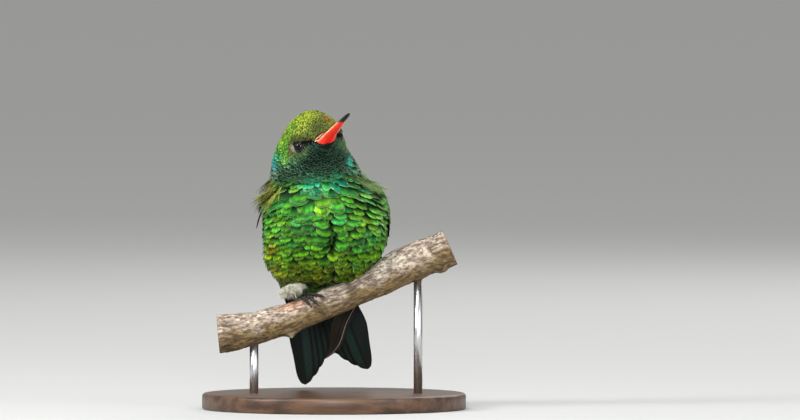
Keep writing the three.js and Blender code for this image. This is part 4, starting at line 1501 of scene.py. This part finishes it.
for name, (count, angles, off, dark, pale) in PLUMES.items():
    lead = rng.integers(0, TUFTS, count)
    row = rng.uniform(5.8, 7.0, TUFTS)[lead] + shaken(count, 0.08)
    angle = (rng.uniform(*angles, TUFTS)[lead] + shaken(count, 2)) * DEG
    length = rng.uniform(3.4, 8.0, TUFTS)[lead] * rng.uniform(0.7, 1.0, count)
    shoulder_strands(name, (row, angle), lead, (off, 0.1, 0.22, 0.085), length,
                     STRAND_RADIUS)
    share = np.clip(rng.uniform(0, 1, (TUFTS, 1))[lead] + shaken(count, 0.4)[:, None], 0, 1)
    plume_colours.append(mix(np.array(dark), np.array(pale), share))
# Two long dark points come out from under them, on the bird's right.
lead = np.repeat([0, 1], 9)
row = np.array([7.3, 7.0])[lead] + shaken(18, 0.04)
angle = (93 + shaken(18, 0.8)) * DEG
shoulder_strands("right", (row, angle), lead, (0.25, 0.1, 0.0, 0.012),
                 np.array([9.6, 6.6])[lead], 0.17)
plume_colours.append(np.broadcast_to(np.array([0.14, 0.10, 0.06]), (18, 3)))
plumes = [np.concatenate(part) for part in (plume_points, plume_colours, plume_unwraps)]
make_piece("coat_plumes", strand_mesh("coat_plumes", *plumes), down_finish.material)

# %% [markdown]
# ## Wing and tail quills
#
# A flight feather is a stiff shaft with a vane on both sides, the outer vane narrower. Folded,
# ten primaries and six secondaries slide over each other like a closed fan, each a little
# shorter than the one outside it. The ten tail feathers overlap the same way, the middle pair
# on top. Each is a closed sheet with a raised shaft, computed over its own length and width.

# %% Quill surface


def quill(place, rows, columns, thickness, shaft, shaft_at=0.0):
    """A closed vane. place gives a point and a normal for s from root to tip and t from -1 to
    1 across. The top carries a shaft, a bell over shaft_at, and the vane thins to its edges."""
    s, t = np.meshgrid(np.linspace(0, 1, rows + 1), np.linspace(-1, 1, columns + 1), indexing="ij")
    points, normals = place(s, t)
    thin = thickness * (1 - 0.75 * np.abs(t)) * (1 - 0.5 * s)
    ridge = shaft * (1 - 0.7 * s) * bump_at(t, shaft_at, 0.16)
    top = points + normals * (thin / 2 + ridge)[..., None]
    bottom = points - normals * (thin / 2 + 0.6 * ridge)[..., None]
    points = np.concatenate([top.reshape(-1, 3), bottom.reshape(-1, 3)])
    faces, rim = sheet_faces(s.shape)
    following = np.roll(rim, -1)
    walls = np.stack([rim, following, following + s.size, rim + s.size], -1)
    quads = np.concatenate([faces, faces[:, ::-1] + s.size, walls])
    uv = np.stack([t.ravel() / 2 + 0.5, s.ravel()], -1)
    return points, facing_out(points, quads), np.tile(uv, (2, 1))


def quill_finish(name, base, edge, sheen, shaft, shaft_at=0.5):
    """Dark vane with fine slanted barbs, a browner edge, a soft coloured sheen along the middle
    of each vane, and a shaft of its own colour."""
    made = Finish(name, roughness=0.42, metallic=0.15, specular=0.20)
    vane = made.split(made.uv("vane"))
    off = made.sum("ABSOLUTE", made.sum("SUBTRACT", vane["X"], shaft_at))
    slant = made.sum("SUBTRACT", vane["Y"], made.sum("MULTIPLY", off, 0.45))
    barbs = made.sum("SINE", made.sum("MULTIPLY", slant, 260 * math.pi))
    clumps = made.noise(made.stretched(made.uv("vane"), (3.0, 26.0, 1.0)), 2.2, 4.0)
    from_panel = made.sum("ABSOLUTE", made.sum("SUBTRACT", vane["X"], 0.27))
    panel = made.between(from_panel, 0.12, 0.20, 1.0, 0.15)
    gleam = made.sum("MULTIPLY", panel, made.between(clumps, 0.25, 0.60, 0.5, 1.0))
    body = made.blend(gleam, base, sheen)
    from_middle = made.sum("ABSOLUTE", made.sum("SUBTRACT", vane["X"], 0.5))
    edges = made.between(from_middle, 0.36, 0.5, 0.0, 0.85)
    tip = made.between(vane["Y"], 0.86, 0.99, 0.0, 0.8)
    edged = made.blend(made.sum("MAXIMUM", edges, tip), body, edge)
    on_shaft = made.between(off, 0.012, 0.035, 1.0, 0.0)
    made.colour(made.blend(on_shaft, edged, shaft))
    made.relief(made.sum("ADD", made.sum("MULTIPLY", barbs, 0.6), clumps), 0.04, 0.6)
    print("finish of the quills:", name)
    return made.material


# %% Tail feathers
TAIL_ALONG = unit(np.array([0.224, 0.38, -0.897]))
TAIL_SIDE = unit(np.array([0.97, 0.0, 0.242]))
TAIL_BACK = np.cross(TAIL_SIDE, TAIL_ALONG)
TAIL_ROOT = np.array([-4.3, 11.9, 27.0])
TAIL_LENGTHS = (14.6, 16.4, 18.4, 20.1, 21.4)
TAIL_FAN = (0.4, 1.9, 3.5, 5.2, 6.8)

TAIL_HALF_WIDTHS = (2.3, 2.9)  # at the root and beyond the middle
TAIL_TIP = 0.28  # the share of the length that is rounded
TAIL_OUTER_VANE = 0.72
TAIL_SPREAD_VANE = 0.50  # how much broader the outermost left vane is at its root

tail_finish = quill_finish("tail_vane", (0.004, 0.007, 0.006), (0.013, 0.009, 0.006),
                           (0.012, 0.030, 0.024), (0.005, 0.006, 0.005), shaft_at=0.54)
for number, (length, degrees) in enumerate(zip(TAIL_LENGTHS, TAIL_FAN)):
    for name, side in SIDES.items():
        fan = degrees * DEG

        def place(s, t):
            half = mix(*TAIL_HALF_WIDTHS, smooth_step(0, 0.45, s))
            half = half * np.sqrt(1 - np.clip((s - 1 + TAIL_TIP) / TAIL_TIP, 0, 1) ** 2.4)
            half = np.maximum(0.12, half)
            outer = mix(1.0, TAIL_OUTER_VANE, smooth_step(0.2, 0.8, s))
            if name == "left" and number == len(TAIL_FAN) - 1:
                outer = outer + TAIL_SPREAD_VANE * (1 - smooth_step(0.35, 1.0, s))
            across = np.where(t > 0, t * half * outer, t * half)
            outward = 1.3 + 1.05 * number + math.sin(fan) * length * s + across
            least = 0.0 if number else -1.1
            outward = np.maximum(least + 0.12 + 0.02 * (t + 1), outward)
            cup = -0.10 * t**2 + 0.03 * np.sin(9 * s + 2 * number) * t
            high = 0.55 * (2 - number) + cup + (0.2 * side if number == 0 else 0.0)
            points = (TAIL_ROOT + TAIL_ALONG * (0.3 + length * s * math.cos(fan))[..., None]
                      + TAIL_SIDE * (side * outward)[..., None] + TAIL_BACK * high[..., None])
            return points, np.broadcast_to(TAIL_BACK, points.shape)

        points, quads, uv = quill(place, 44, 12, thickness=0.22, shaft=0.12, shaft_at=0.08)
        make_solid(f"tail_feather_{name}_{number + 1}", points, quads, tail_finish,
                   "tail_feathers", [f"rectrix_{name}_{number + 1}"], maps={"vane": uv})

# %% Flight feathers
WING_COLOURS = ((0.006, 0.0045, 0.003), (0.030, 0.018, 0.009), (0.012, 0.009, 0.006))
wing_finish = quill_finish("wing_vane", *WING_COLOURS, (0.03, 0.02, 0.012))
leading_finish = quill_finish("leading_vane", *WING_COLOURS, (0.50, 0.42, 0.30))
QUILL_ROOT = 0.17  # where on the wing the flight feathers start


def primaries_reach(s):
    return mix(0.5, 1.0, smooth_step(0.4, 0.56, s))


def flight_feather(name, end, centre, half, lift):
    """A feather of the folded wing as far as s = end. centre and half tell which share of the
    wing's breadth it takes."""
    def place(s, t):
        along = mix(QUILL_ROOT, end, s)
        taper = np.sqrt(np.clip(1 - np.clip((s - 0.86) / 0.14, 0, 1) ** 2.4, 0.0, 1.0))
        narrow = mix(0.55, 1.0, smooth_step(0, 0.25, s)) * np.maximum(taper, 0.06)
        reach = np.clip(centre(along) + half(along) * narrow * t, 0.02, 0.98)
        return wing_surface(name, along, reach, lift - 0.10 * t**2)

    return quill(place, 34, 8, thickness=0.07, shaft=0.10)


def primary(name, k):
    """Each is shorter than the one outside it, and lies further in and higher."""
    return flight_feather(
        name, 1.012 - 0.020 * k - 0.0045 * k * k,
        lambda s: primaries_reach(s) * (0.13 + 0.082 * k),
        lambda s: primaries_reach(s) * 0.24, 0.035 * (k - 5),
    )


def secondary(name, k):
    return flight_feather(name, 0.47 - 0.028 * k, lambda s: 0.60 + 0.06 * k, lambda s: 0.16,
                          0.05 * k)


for name in SIDES:
    for group, feather, numbers in (("primaries", primary, range(1, 10)),
                                    ("secondaries", secondary, range(6))):
        sheets = [feather(name, k) for k in numbers]
        points, faces = joined([(p, q) for p, q, _ in sheets])
        uv = np.concatenate([u for _, _, u in sheets])
        node = f"wing_{name}_{group}"
        make_solid(node + "_vanes", points, faces, wing_finish, "flight_feathers", [node],
                   maps={"vane": uv})
    points, quads, uv = flight_feather(
        name, 0.97, lambda s: primaries_reach(s) * 0.16, lambda s: primaries_reach(s) * 0.145,
        -0.32,
    )
    make_solid(f"wing_{name}_leading_quill", points, quads, leading_finish, "flight_feathers",
               maps={"vane": uv})

# %% Wing coverts
COVERT_ROW = (np.arange(7) + 0.25) / 7 * 1.05 - 0.02  # places across the wing
for name, side in SIDES.items():
    roots = np.concatenate([
        np.stack(np.broadcast_arrays(s, COVERT_ROW + 0.5 * (k % 2) / 7 * 1.05), -1)
        for k, s in enumerate(np.arange(-0.02, 0.25, 0.022))
    ])

    def covert_surface(s, t, name=name):
        return wing_surface(name, s, t, 0.45)

    count = len(roots)
    points = lay(covert_surface, roots[:, 0], roots[:, 1], BIG_SCALE,
                 length=3.6 * (1 + shaken(count, 0.1)), width=2.5, yaw=shaken(count, 8 * DEG),
                 root=-0.5, tip=0.15 + shaken(count, 0.06), camber=0.25)
    green = mix(PAINT["nape"], PAINT["back"], roots[:, 0:1] * 4)
    unwrap = np.stack([0.05 + 0.9 * roots[:, 1], 0.1 + 3.0 * roots[:, 0]], -1)
    coverts = {"points": points, "template": BIG_SCALE, "colour": varied(green), "unwrap": unwrap}
    coat_piece(f"coat_wing_{name}", [coverts], green_finish)

# %% [markdown]
# ## Eyes
#
# The eye is a ball, most of it inside the head. It looks black, because the iris is a very dark
# brown, and it is wet, so it mirrors the sky as one soft spot. A ring of bare, beaded skin
# holds it, a little longer than high and pointed before and behind.

# %% Eyeballs and lids
eye_finish = Finish("eye", roughness=0.04, specular=0.20)
eye_finish.colour(eye_finish.attribute("tint"))
lid_finish = Finish("eyelid", roughness=0.5, specular=0.4)
beads = lid_finish.cells(lid_finish.place(), 5200.0)
lid_finish.colour(lid_finish.blend(beads, (0.016, 0.015, 0.013), (0.005, 0.005, 0.004)))
lid_finish.relief(beads, 0.06)
EYE_BLACK, EYE_BROWN = np.array([0.0005, 0.0005, 0.0005]), np.array([0.0025, 0.0015, 0.001])
LID_ALONG, LID_AROUND = 96, 14
for name, (middle, out, back, high) in EYES.items():
    polar = np.linspace(0.02, np.pi - 0.02, 33)[:, None]
    turn = turns(48)[None, :]
    ring = (out * np.cos(polar)[..., None] + back * (np.sin(polar) * np.cos(turn))[..., None]
            + high * (np.sin(polar) * np.sin(turn))[..., None])
    bulge = 1 + 0.03 * bump_at(polar, 0.0, 0.5)
    points, faces = solid_tube(middle + ring * (EYE_RADIUS * bulge)[..., None])
    far = np.arccos(np.clip(unit(points - middle) @ out, -1, 1))
    iris = smooth_step(0.36, 0.40, far) * (1 - smooth_step(0.60, 0.66, far))
    make_solid(f"eyeball_{name}", points, faces, eye_finish.material, "eye", [f"eye_{name}"],
               tint=mix(EYE_BLACK, EYE_BROWN, iris[:, None]))
    theta = turns(LID_ALONG)[:, None]
    phi = turns(LID_AROUND)[None, :]
    opening = 1.06 + 0.07 * np.cos(2 * theta) + 0.02 * np.cos(4 * theta)
    thick = 0.08 + 0.012 * np.sin(23 * theta)
    depth = np.sqrt(EYE_RADIUS**2 - opening**2) + 0.03
    radial = back * np.cos(theta)[..., None] + high * np.sin(theta)[..., None]
    tube = (middle + radial * (opening + thick * np.cos(phi))[..., None]
            + out * (depth + 0.8 * thick * np.sin(phi))[..., None])
    index = np.arange(LID_ALONG * LID_AROUND).reshape(LID_ALONG, LID_AROUND)
    near, over = np.roll(index, -1, 0), np.roll(index, -1, 1)
    quads = np.stack([index, near, np.roll(near, -1, 1), over], -1).reshape(-1, 4)
    points = tube.reshape(-1, 3)
    make_solid(f"eyelid_{name}", points, facing_out(points, quads), lid_finish.material, "eye")

# %% [markdown]
# ## Bill
#
# Two waxy red halves with a black tip. Each is half of a pointed tube: round outside, nearly
# flat where it meets the other, with a pale cutting edge that is a painted highlight, and a
# painted shade of dark red inside the mouth. The lower half has a groove under its base, where
# its two branches join. A pale, soft fold of skin closes the corner of the mouth.

# %% Bill
BILL_LENGTH = 17.6
BILL_HIDDEN = -0.07  # how far the halves reach back under the face, as a share of the length
BILL_LIFT = 22.2 * DEG
bill_base = placed(np.array(0.0), 0.0, 15.6, 68.15, through(BODY_STATIONS, 0.0))
bill_base = bill_base + np.array([0.25, 0.0, 0.0])
bill_ahead = np.array([math.cos(BILL_LIFT) * math.sin(HEAD_TURN),
                       -math.cos(BILL_LIFT) * math.cos(HEAD_TURN), math.sin(BILL_LIFT)])
level_side = np.array([math.cos(HEAD_TURN), math.sin(HEAD_TURN), 0.0])
level_up = np.cross(bill_ahead, level_side)
bill_side = level_side * math.cos(HEAD_ROLL) + level_up * math.sin(HEAD_ROLL)
bill_up = np.cross(bill_ahead, bill_side)
if bill_up[2] < 0:
    bill_up = -bill_up


def bill_width(s):
    """Half the bill's breadth: it falls almost straight to the tip and flares at the face."""
    s = np.maximum(s, -0.02)
    return 0.70 + 1.50 * np.maximum(1 - s, 0) ** 1.15 + 0.4 * np.exp(-np.maximum(s, 0) / 0.06)


def bill_half(upper):
    """Rings along one half. upper is 1 or -1."""
    s = np.linspace(BILL_HIDDEN, 1.0, 97)[:, None]
    a = turns(48)[None, :]
    length = BILL_LENGTH + 0.2 if upper > 0 else BILL_LENGTH - 0.1
    wide = bill_width(s) * (1 - 0.25 * smooth_step(0, BILL_HIDDEN, s))
    wide = wide * np.sqrt(np.clip(1 - np.clip((s - 0.88) / 0.12, 0, 1) ** 2.2, 0.01, 1))
    if upper > 0:
        wide = 0.92 * wide * (1 - 0.28 * bump_at(s, 0.0, 0.22))
    opening = 0.04 + 0.23 * (1 - smooth_step(0.03, 0.26, s))
    round_ = np.where(np.sin(a) > 0, np.sin(a), 0.12 * np.sin(a))
    if upper < 0:
        base = 1 - smooth_step(0.15, 0.75, s)
        groove = 0.07 * base * bump_at(np.cos(a), 0.0, 0.08 + 0.16 * (1 - s)) * (np.sin(a) > 0)
    else:
        groove = -0.10 * bump_at(np.cos(a), 0.0, 0.3) * (np.sin(a) > 0)
    deep = 0.34 if upper > 0 else 0.52
    rise = opening + round_ * wide * (deep - groove)
    points = (bill_base + bill_ahead * mix(0.5, length, s)[..., None]
              + bill_side * (np.cos(a) * wide)[..., None] + bill_up * (upper * rise)[..., None])
    return points, np.broadcast_to(s, points.shape[:2]), np.broadcast_to(a, points.shape[:2])


bill_finish = Finish("bill", roughness=0.32, specular=0.5)
wax = bill_finish.noise(bill_finish.place(), 900.0, 4.0)
bill_finish.colour(bill_finish.blend(
    bill_finish.between(wax, 0.35, 0.7, 0.0, 0.4),
    bill_finish.attribute("tint"), (0.62, 0.30, 0.25), how="MULTIPLY",
))
bill_finish.relief(wax, 0.03)
for key, value in (("Weight", 0.08), ("Radius", (0.002, 0.0006, 0.0004)), ("Scale", 0.5)):
    bill_finish.shader.inputs["Subsurface " + key].default_value = value
BLACK_FROM = {"upper": 0.64, "lower": 0.72}  # where the tip turns black
for name, upper in (("upper", 1), ("lower", -1)):
    rings, s, a = bill_half(upper)
    # Painted highlight: a pale band along the cutting edges, near the base.
    rim = smooth_step(0.955, 0.997, np.abs(np.cos(a)))
    red = linear((1.0, 0.235, 0.17)) if upper < 0 else linear((0.80, 0.20, 0.14))
    deep = bump_at(np.cos(a), 0.0, 0.42) * (np.sin(a) > 0) * (upper < 0)
    tint = stained(np.broadcast_to(red, rings.shape), (0.98, 0.04, 0.06), 0.95 * deep)
    tint = stained(tint, (0.96, 0.78, 0.60), 0.9 * rim * (1 - smooth_step(0.6, 0.8, s)))
    # Painted shade: the faces where the halves meet, inside the mouth, are dark red near the base.
    inside = smooth_step(-0.05, -0.3, np.sin(a)) * (1 - smooth_step(0.4, 0.6, s))
    tint = stained(tint, (0.20, 0.02, 0.02), inside)
    blackens = BLACK_FROM[name]
    wavy = s + 0.02 * np.sin(5 * a) + 0.03 * np.abs(np.cos(a))
    tint = stained(tint, (0.07, 0.065, 0.05), smooth_step(blackens, blackens + 0.07, wavy))
    make_solid(f"bill_{name}_half", *solid_tube(rings), bill_finish.material, "bill",
               [f"bill_{name}"], tint=closed_tube(tint))

# %% Corners of the mouth
for name, side in SIDES.items():
    v = np.linspace(-1, 1, 49)[:, None]
    around = turns(16)
    reach = np.where(v > 0, 4.6, 2.4) * np.abs(v) ** 1.7 - 0.9
    wide = bill_width(np.clip(reach, 0, None) / BILL_LENGTH) + 0.10 * (1 - v**2)
    high = 0.34 * np.sin(v * np.pi / 2)
    spine = (bill_base + bill_ahead * (reach + 0.5)[..., None] + bill_side * (side * wide)[..., None]
             + bill_up * high[..., None])
    along = unit(np.gradient(spine[:, 0], axis=0))
    one = unit(np.cross(along, bill_side))
    radius = 0.05 + 0.09 * (1 - np.abs(v) ** 3)
    tube = spine + circle(one, np.cross(along, one), around) * radius[..., None]
    share = np.broadcast_to(np.abs(v) ** 1.5, tube.shape[:2])
    tint = stained(linear((0.96, 0.74, 0.58)), (0.95, 0.62, 0.46), share)
    make_solid(f"gape_{name}", *solid_tube(tube), bill_finish.material, "bill",
               tint=closed_tube(tint))

# %% [markdown]
# ## Feet
#
# Small and nearly black. Three toes reach forward over the perch and one back, and each ends in
# a hooked claw. Rows of horny plates cross their tops, which here are small ridges along the
# tube, and a faint swelling marks each joint.

# %% Toes and legs
foot_finish = Finish("foot", roughness=0.45, specular=0.45)
scales = foot_finish.cells(foot_finish.place(), 3800.0)
foot_finish.colour(foot_finish.blend(scales, (0.016, 0.012, 0.010), (0.006, 0.005, 0.005)))
foot_finish.relief(scales, 0.04)

# Where each foot stands, the angle at which its toes meet, and each toe's end: X and angle.
FEET = {
    "right": (-5.4, 76, ((-5.9, 178), (-5.3, 8), (-3.5, 2), (-1.5, 24))),
    "left": (4.5, 104, ((4.9, 196), (3.0, 56), (4.4, 50), (5.7, 58))),
}
TARSUS_TOPS = {"right": (-8.4, -0.6, 30.9), "left": (3.4, 1.0, 36.2)}
TOE_RADIUS, CLAW_RADIUS, TARSUS_RADIUS = 0.33, 0.19, 0.40


def tube_along(spine, radius):
    """A closed tube round a line of points, without twist: the sideways direction of each
    ring is the X axis made square to the line."""
    along = unit(np.gradient(spine, axis=0))
    one = unit(np.array([1.0, 0.0, 0.0]) - along * along[:, :1])
    ring = circle(one, np.cross(along, one), turns(20))
    return solid_tube(spine[:, None] + ring * radius[:, None, None])


for name, (stands, meets, toes) in FEET.items():
    for number, (end_x, end_angle) in enumerate(toes):
        s = np.linspace(0, 1, 73)
        way = np.sign(end_angle - meets)
        start = meets + way * (16 if number == 0 else 12)
        spread = 0 if number == 0 else number - 2
        x = mix(stands + spread, end_x, s)
        angle = mix(start, end_angle, s) * DEG
        claw = 0.55 * np.sin(np.pi * np.clip((s - 0.72) / 0.28, 0, 1))
        knuckle = 0.12 * np.abs(np.sin(3 * np.pi * s))
        lift = 0.08 + TOE_RADIUS + knuckle + 0.6 * claw
        spine = perch_point(x, angle, lift)
        claw_part = smooth_step(0.70, 0.76, s)
        radius = mix(TOE_RADIUS + 0.05 * np.abs(np.sin(3 * np.pi * s)), CLAW_RADIUS, claw_part)
        radius = radius + 0.035 * np.sin(26 * np.pi * s) * (1 - claw_part)
        radius = radius * np.sqrt(np.clip(1 - ((s - 0.76) / 0.245).clip(0, 1) ** 2, 0.01, 1))
        node = f"toe_{name}_{number + 1}"
        make_solid(node + "_scaled", *tube_along(spine, radius), foot_finish.material, "foot",
                   [node])
    joint = perch_point(stands, meets * DEG, 1.0)
    s = np.linspace(0, 1, 41)
    spine = mix(joint, np.array(TARSUS_TOPS[name]), s[:, None])
    radius = TARSUS_RADIUS + 0.14 * bump_at(s, 0.0, 0.2) + 0.03 * np.sin(20 * np.pi * s)
    make_solid(f"tarsus_{name}_scaled", *tube_along(spine, radius), foot_finish.material, "foot",
               [f"tarsus_{name}"])

# %% [markdown]
# ## Bark
#
# The perch keeps its CAD form and gains bark: plates that run along it, with cracks between.
# A smooth random field, stretched along the branch, gives the plates. It is read as a height at
# each grid point, and the finish adds the finer grain, lichen and stains. The colours also hold
# painted light and shade: a paler top, a darker underside and darkened cracks.

# %% Smooth random field
LATTICE = 24  # points along each edge of the cube of random numbers, which then repeats
lattice = rng.random((LATTICE, LATTICE, LATTICE))


def field(points, scale):
    """Random numbers on a lattice of cubes, blended smoothly between the corners."""
    where = points / scale
    cell = np.floor(where).astype(int)
    t = where - cell
    t = t * t * (3 - 2 * t)
    total = 0.0
    for corner in np.ndindex(2, 2, 2):
        share = np.prod(np.where(np.array(corner) == 1, t, 1 - t), axis=-1)
        i, j, k = np.moveaxis((cell + corner) % LATTICE, -1, 0)
        total = total + share * lattice[i, j, k]
    return total


def on_bar(x, angle, radius=4.0):
    """Places on a straight round bar, at which the field is read for the bent one."""
    return np.stack([x, radius * np.cos(angle), radius * np.sin(angle)], -1)


def bark_height(x, angle):
    """Long low plates, a few cracks where the field crosses one value, and fine roughness."""
    bar = on_bar(x, angle)
    plates = field(on_bar(0.22 * x, angle, 3.6) + 7, 1.5)
    torn = smooth_step(0.52, 0.72, field(bar + 90, 5.0))
    cracks = -0.22 * torn * bump_at(plates, 0.5, 0.03)
    grain = field(bar + 31, 0.38) - 0.5
    lumps = field(bar + 11, 2.6) - 0.5
    return cracks + 0.20 * grain + 0.35 * lumps + 0.10 * smooth_step(0.5, 0.56, plates)


print("the field's mean:", round(float(lattice.mean()), 2))

# %% Bark
BARK_ALONG, BARK_AROUND, SAWN_RINGS = 401, 132, 24
x, angle = np.broadcast_arrays(np.linspace(*PERCH_ENDS, BARK_ALONG)[:, None], turns(BARK_AROUND))
height = bark_height(x, angle)
near_toe = np.zeros(x.shape)
for stands, _, _ in FEET.values():
    near_toe = np.maximum(near_toe, bump_at(x, stands, 4.5))
height = height * (1 - 0.55 * near_toe) - 0.12 * near_toe
nub = bump_at(x, -12.0, 0.75) * bump_at(angle_off(angle, 5.0), 0.0, 0.28)
rings = perch_point(x, angle, height - 0.05 + 0.65 * nub)
# The sawn ends: rings that shrink to the pith.
shares = np.linspace(0.96, 0.05, SAWN_RINGS)[:, None, None]
ends = [ring.mean(0) + (ring - ring.mean(0)) * shares for ring in (rings[0], rings[-1])]
points, faces = solid_tube(np.concatenate([ends[0][::-1], rings, ends[1]]))
top = np.sin(angle)
# Painted light and shade: the top of the perch is painted paler and its underside darker, broken by a
# mottle, and the pale flecks below show only on that painted-light top.
light = smooth_step(-0.45, 0.55, top + 0.9 * (field(rings + 70, 3.0) - 0.5))
tint = stained(linear((0.57, 0.48, 0.32)), (0.75, 0.68, 0.61), light)
spots = field(rings + 3, 1.4)
tint = stained(tint, (0.92, 0.86, 0.77), 0.8 * smooth_step(0.50, 0.66, spots) * light)
lichen = bump_at(x, 14.5, 3.4) * smooth_step(-0.1, 0.5, top) * smooth_step(0.25, 0.45, spots)
tint = stained(tint, (0.95, 0.92, 0.84), 0.95 * lichen)
rusty = bump_at(x, -9.4, 3.0) * smooth_step(0.1, 0.8, top)
tint = stained(tint, (0.84, 0.56, 0.40), 0.65 * rusty)
tint = stained(tint, (0.24, 0.17, 0.12), 0.6 * smooth_step(0.74, 0.88, field(rings + 50, 0.55)))
# Fibres: the field is squeezed across the perch and long along it.
fibres = smooth_step(0.30, 0.60, field(on_bar(0.32 * x, angle) + 63, 0.36))
tint = tint * mix(np.array([0.50, 0.44, 0.46]), 1.10, fibres[..., None])
# Painted shade: the low places of the bark, its cracks, are darkened.
tint = stained(tint, (0.17, 0.13, 0.10), 0.7 * smooth_step(-0.02, -0.25, height))
tint = 0.85 * stained(tint, (0.86, 0.80, 0.68), 0.8 * nub)
years = 0.5 + 0.5 * np.sin(2 * np.pi * 6 * shares**1.3)
sawn = stained(linear((0.74, 0.62, 0.45)), (0.46, 0.34, 0.22), 0.8 * years[..., 0])
sawn = stained(sawn, (0.30, 0.22, 0.16), smooth_step(0.88, 0.96, shares[..., 0]))
sawn = np.broadcast_to(sawn, ends[0].shape)
tint = closed_tube(np.concatenate([sawn[::-1], tint, sawn]))

bark_finish = Finish("bark", roughness=0.85, specular=0.25)
along_bark = bark_finish.stretched(bark_finish.place(), (0.45, 1.0, 1.0))
grain = bark_finish.noise(along_bark, 1500.0, 6.0, 0.7)
specks = bark_finish.noise(bark_finish.place(), 3200.0, 2.0)
shade = bark_finish.blend(bark_finish.between(grain, 0.36, 0.56, 0.75, 0.0),
                          bark_finish.attribute("tint"), (0.07, 0.05, 0.035))
bark_finish.colour(bark_finish.blend(bark_finish.between(specks, 0.66, 0.74, 0.0, 0.5),
                                     shade, (0.025, 0.018, 0.012)))
bark_finish.relief(bark_finish.sum("ADD", grain, specks), 0.40, 0.9)
make_solid("perch_bark", points, faces, bark_finish.material, "perch_bark", ["perch"], tint=tint)

# %% [markdown]
# ## Stand
#
# A plain turned base of stained wood and two steel rods that reach into the perch. Each is a
# profile carried round a circle.

# %% Stand


def lathe(profile, centre, around):
    """Radius and height pairs, carried round the upright line through centre."""
    profile = np.array(profile, float)
    turn = turns(around)
    return solid_tube(np.stack([
        centre[0] + profile[:, :1] * np.cos(turn),
        centre[1] + profile[:, :1] * np.sin(turn),
        np.broadcast_to(profile[:, 1:], (len(profile), around)),
    ], -1))


def soft_corner(radius, height, edge):
    """A quarter round from the side to the top of a disc."""
    q = np.linspace(0, np.pi / 2, 6)
    return [(radius - edge + edge * np.cos(a), height - edge + edge * np.sin(a)) for a in q]


wood_finish = Finish("stand_wood", roughness=0.38, specular=0.45)
along_wood = wood_finish.stretched(wood_finish.place(), (0.07, 1.0, 1.0))
years = wood_finish.noise(along_wood, 420.0, 5.0, 0.6)
wood_finish.colour(wood_finish.blend(wood_finish.between(years, 0.35, 0.65),
                                     (0.045, 0.022, 0.012), (0.115, 0.058, 0.030)))
wood_finish.relief(years, 0.03)
BASE_RADIUS, BASE_HEIGHT, BASE_EDGE = 33.0, 4.0, 0.8
BASE_AROUND = 192
CHAMFER = 0.4  # along the base's lower edge, and the radius of the small discs in its middle
profile = [(CHAMFER, 0.0), (BASE_RADIUS - CHAMFER, 0.0), (BASE_RADIUS, CHAMFER)]
profile += soft_corner(BASE_RADIUS, BASE_HEIGHT, BASE_EDGE) + [(CHAMFER, BASE_HEIGHT)]
points, (quads, caps) = lathe(profile, (0.0, 0.0), BASE_AROUND)
level = np.isin(np.arange(len(quads)) // BASE_AROUND, (0, len(profile) - 2))
make_solid("stand_base_turned", points, [quads, caps], wood_finish.material, "stand_wood",
           ["stand_base"], flat=np.append(level, np.ones(len(caps), bool)))

steel_finish = Finish("stand_steel", roughness=0.28, metallic=1.0)
along_rod = steel_finish.stretched(steel_finish.place(), (1.0, 1.0, 0.06))
drawn = steel_finish.noise(along_rod, 2500.0, 2.0)
steel_finish.colour((0.55, 0.55, 0.56))
steel_finish.roughness(steel_finish.between(drawn, 0.3, 0.7, 0.22, 0.36))
ROD_RADIUS = 1.1
ROD_SUNK = 2.6  # how far each end is let in
for name, rod_x in (("right", -20.0), ("left", 21.0)):
    steep = math.hypot(1, perch_slope_at(rod_x))
    under = perch_axis_z(rod_x) - perch_radius(rod_x, -math.pi / 2) * steep
    rod = [(ROD_RADIUS, BASE_HEIGHT - ROD_SUNK), (ROD_RADIUS, under + ROD_SUNK)]
    make_solid(f"stand_rod_{name}_steel", *lathe(rod, (rod_x, 0.0), 64), steel_finish.material,
               "stand_steel", [f"stand_rod_{name}"])

# %% Floor and finish
floor_mesh = bpy.data.meshes.new("floor")
REACH = 20.0  # metres
corners = [(-REACH, -REACH, 0), (REACH, -REACH, 0), (REACH, REACH, 0), (-REACH, REACH, 0)]
floor_mesh.from_pydata(corners, [], [(0, 1, 2, 3)])
floor = bpy.data.objects.new("floor", floor_mesh)
floor_finish = Finish("floor", roughness=0.9, specular=0.1)
floor_finish.colour((0.56, 0.56, 0.55))
floor_mesh.materials.append(floor_finish.material)
bpy.context.scene.collection.objects.link(floor)
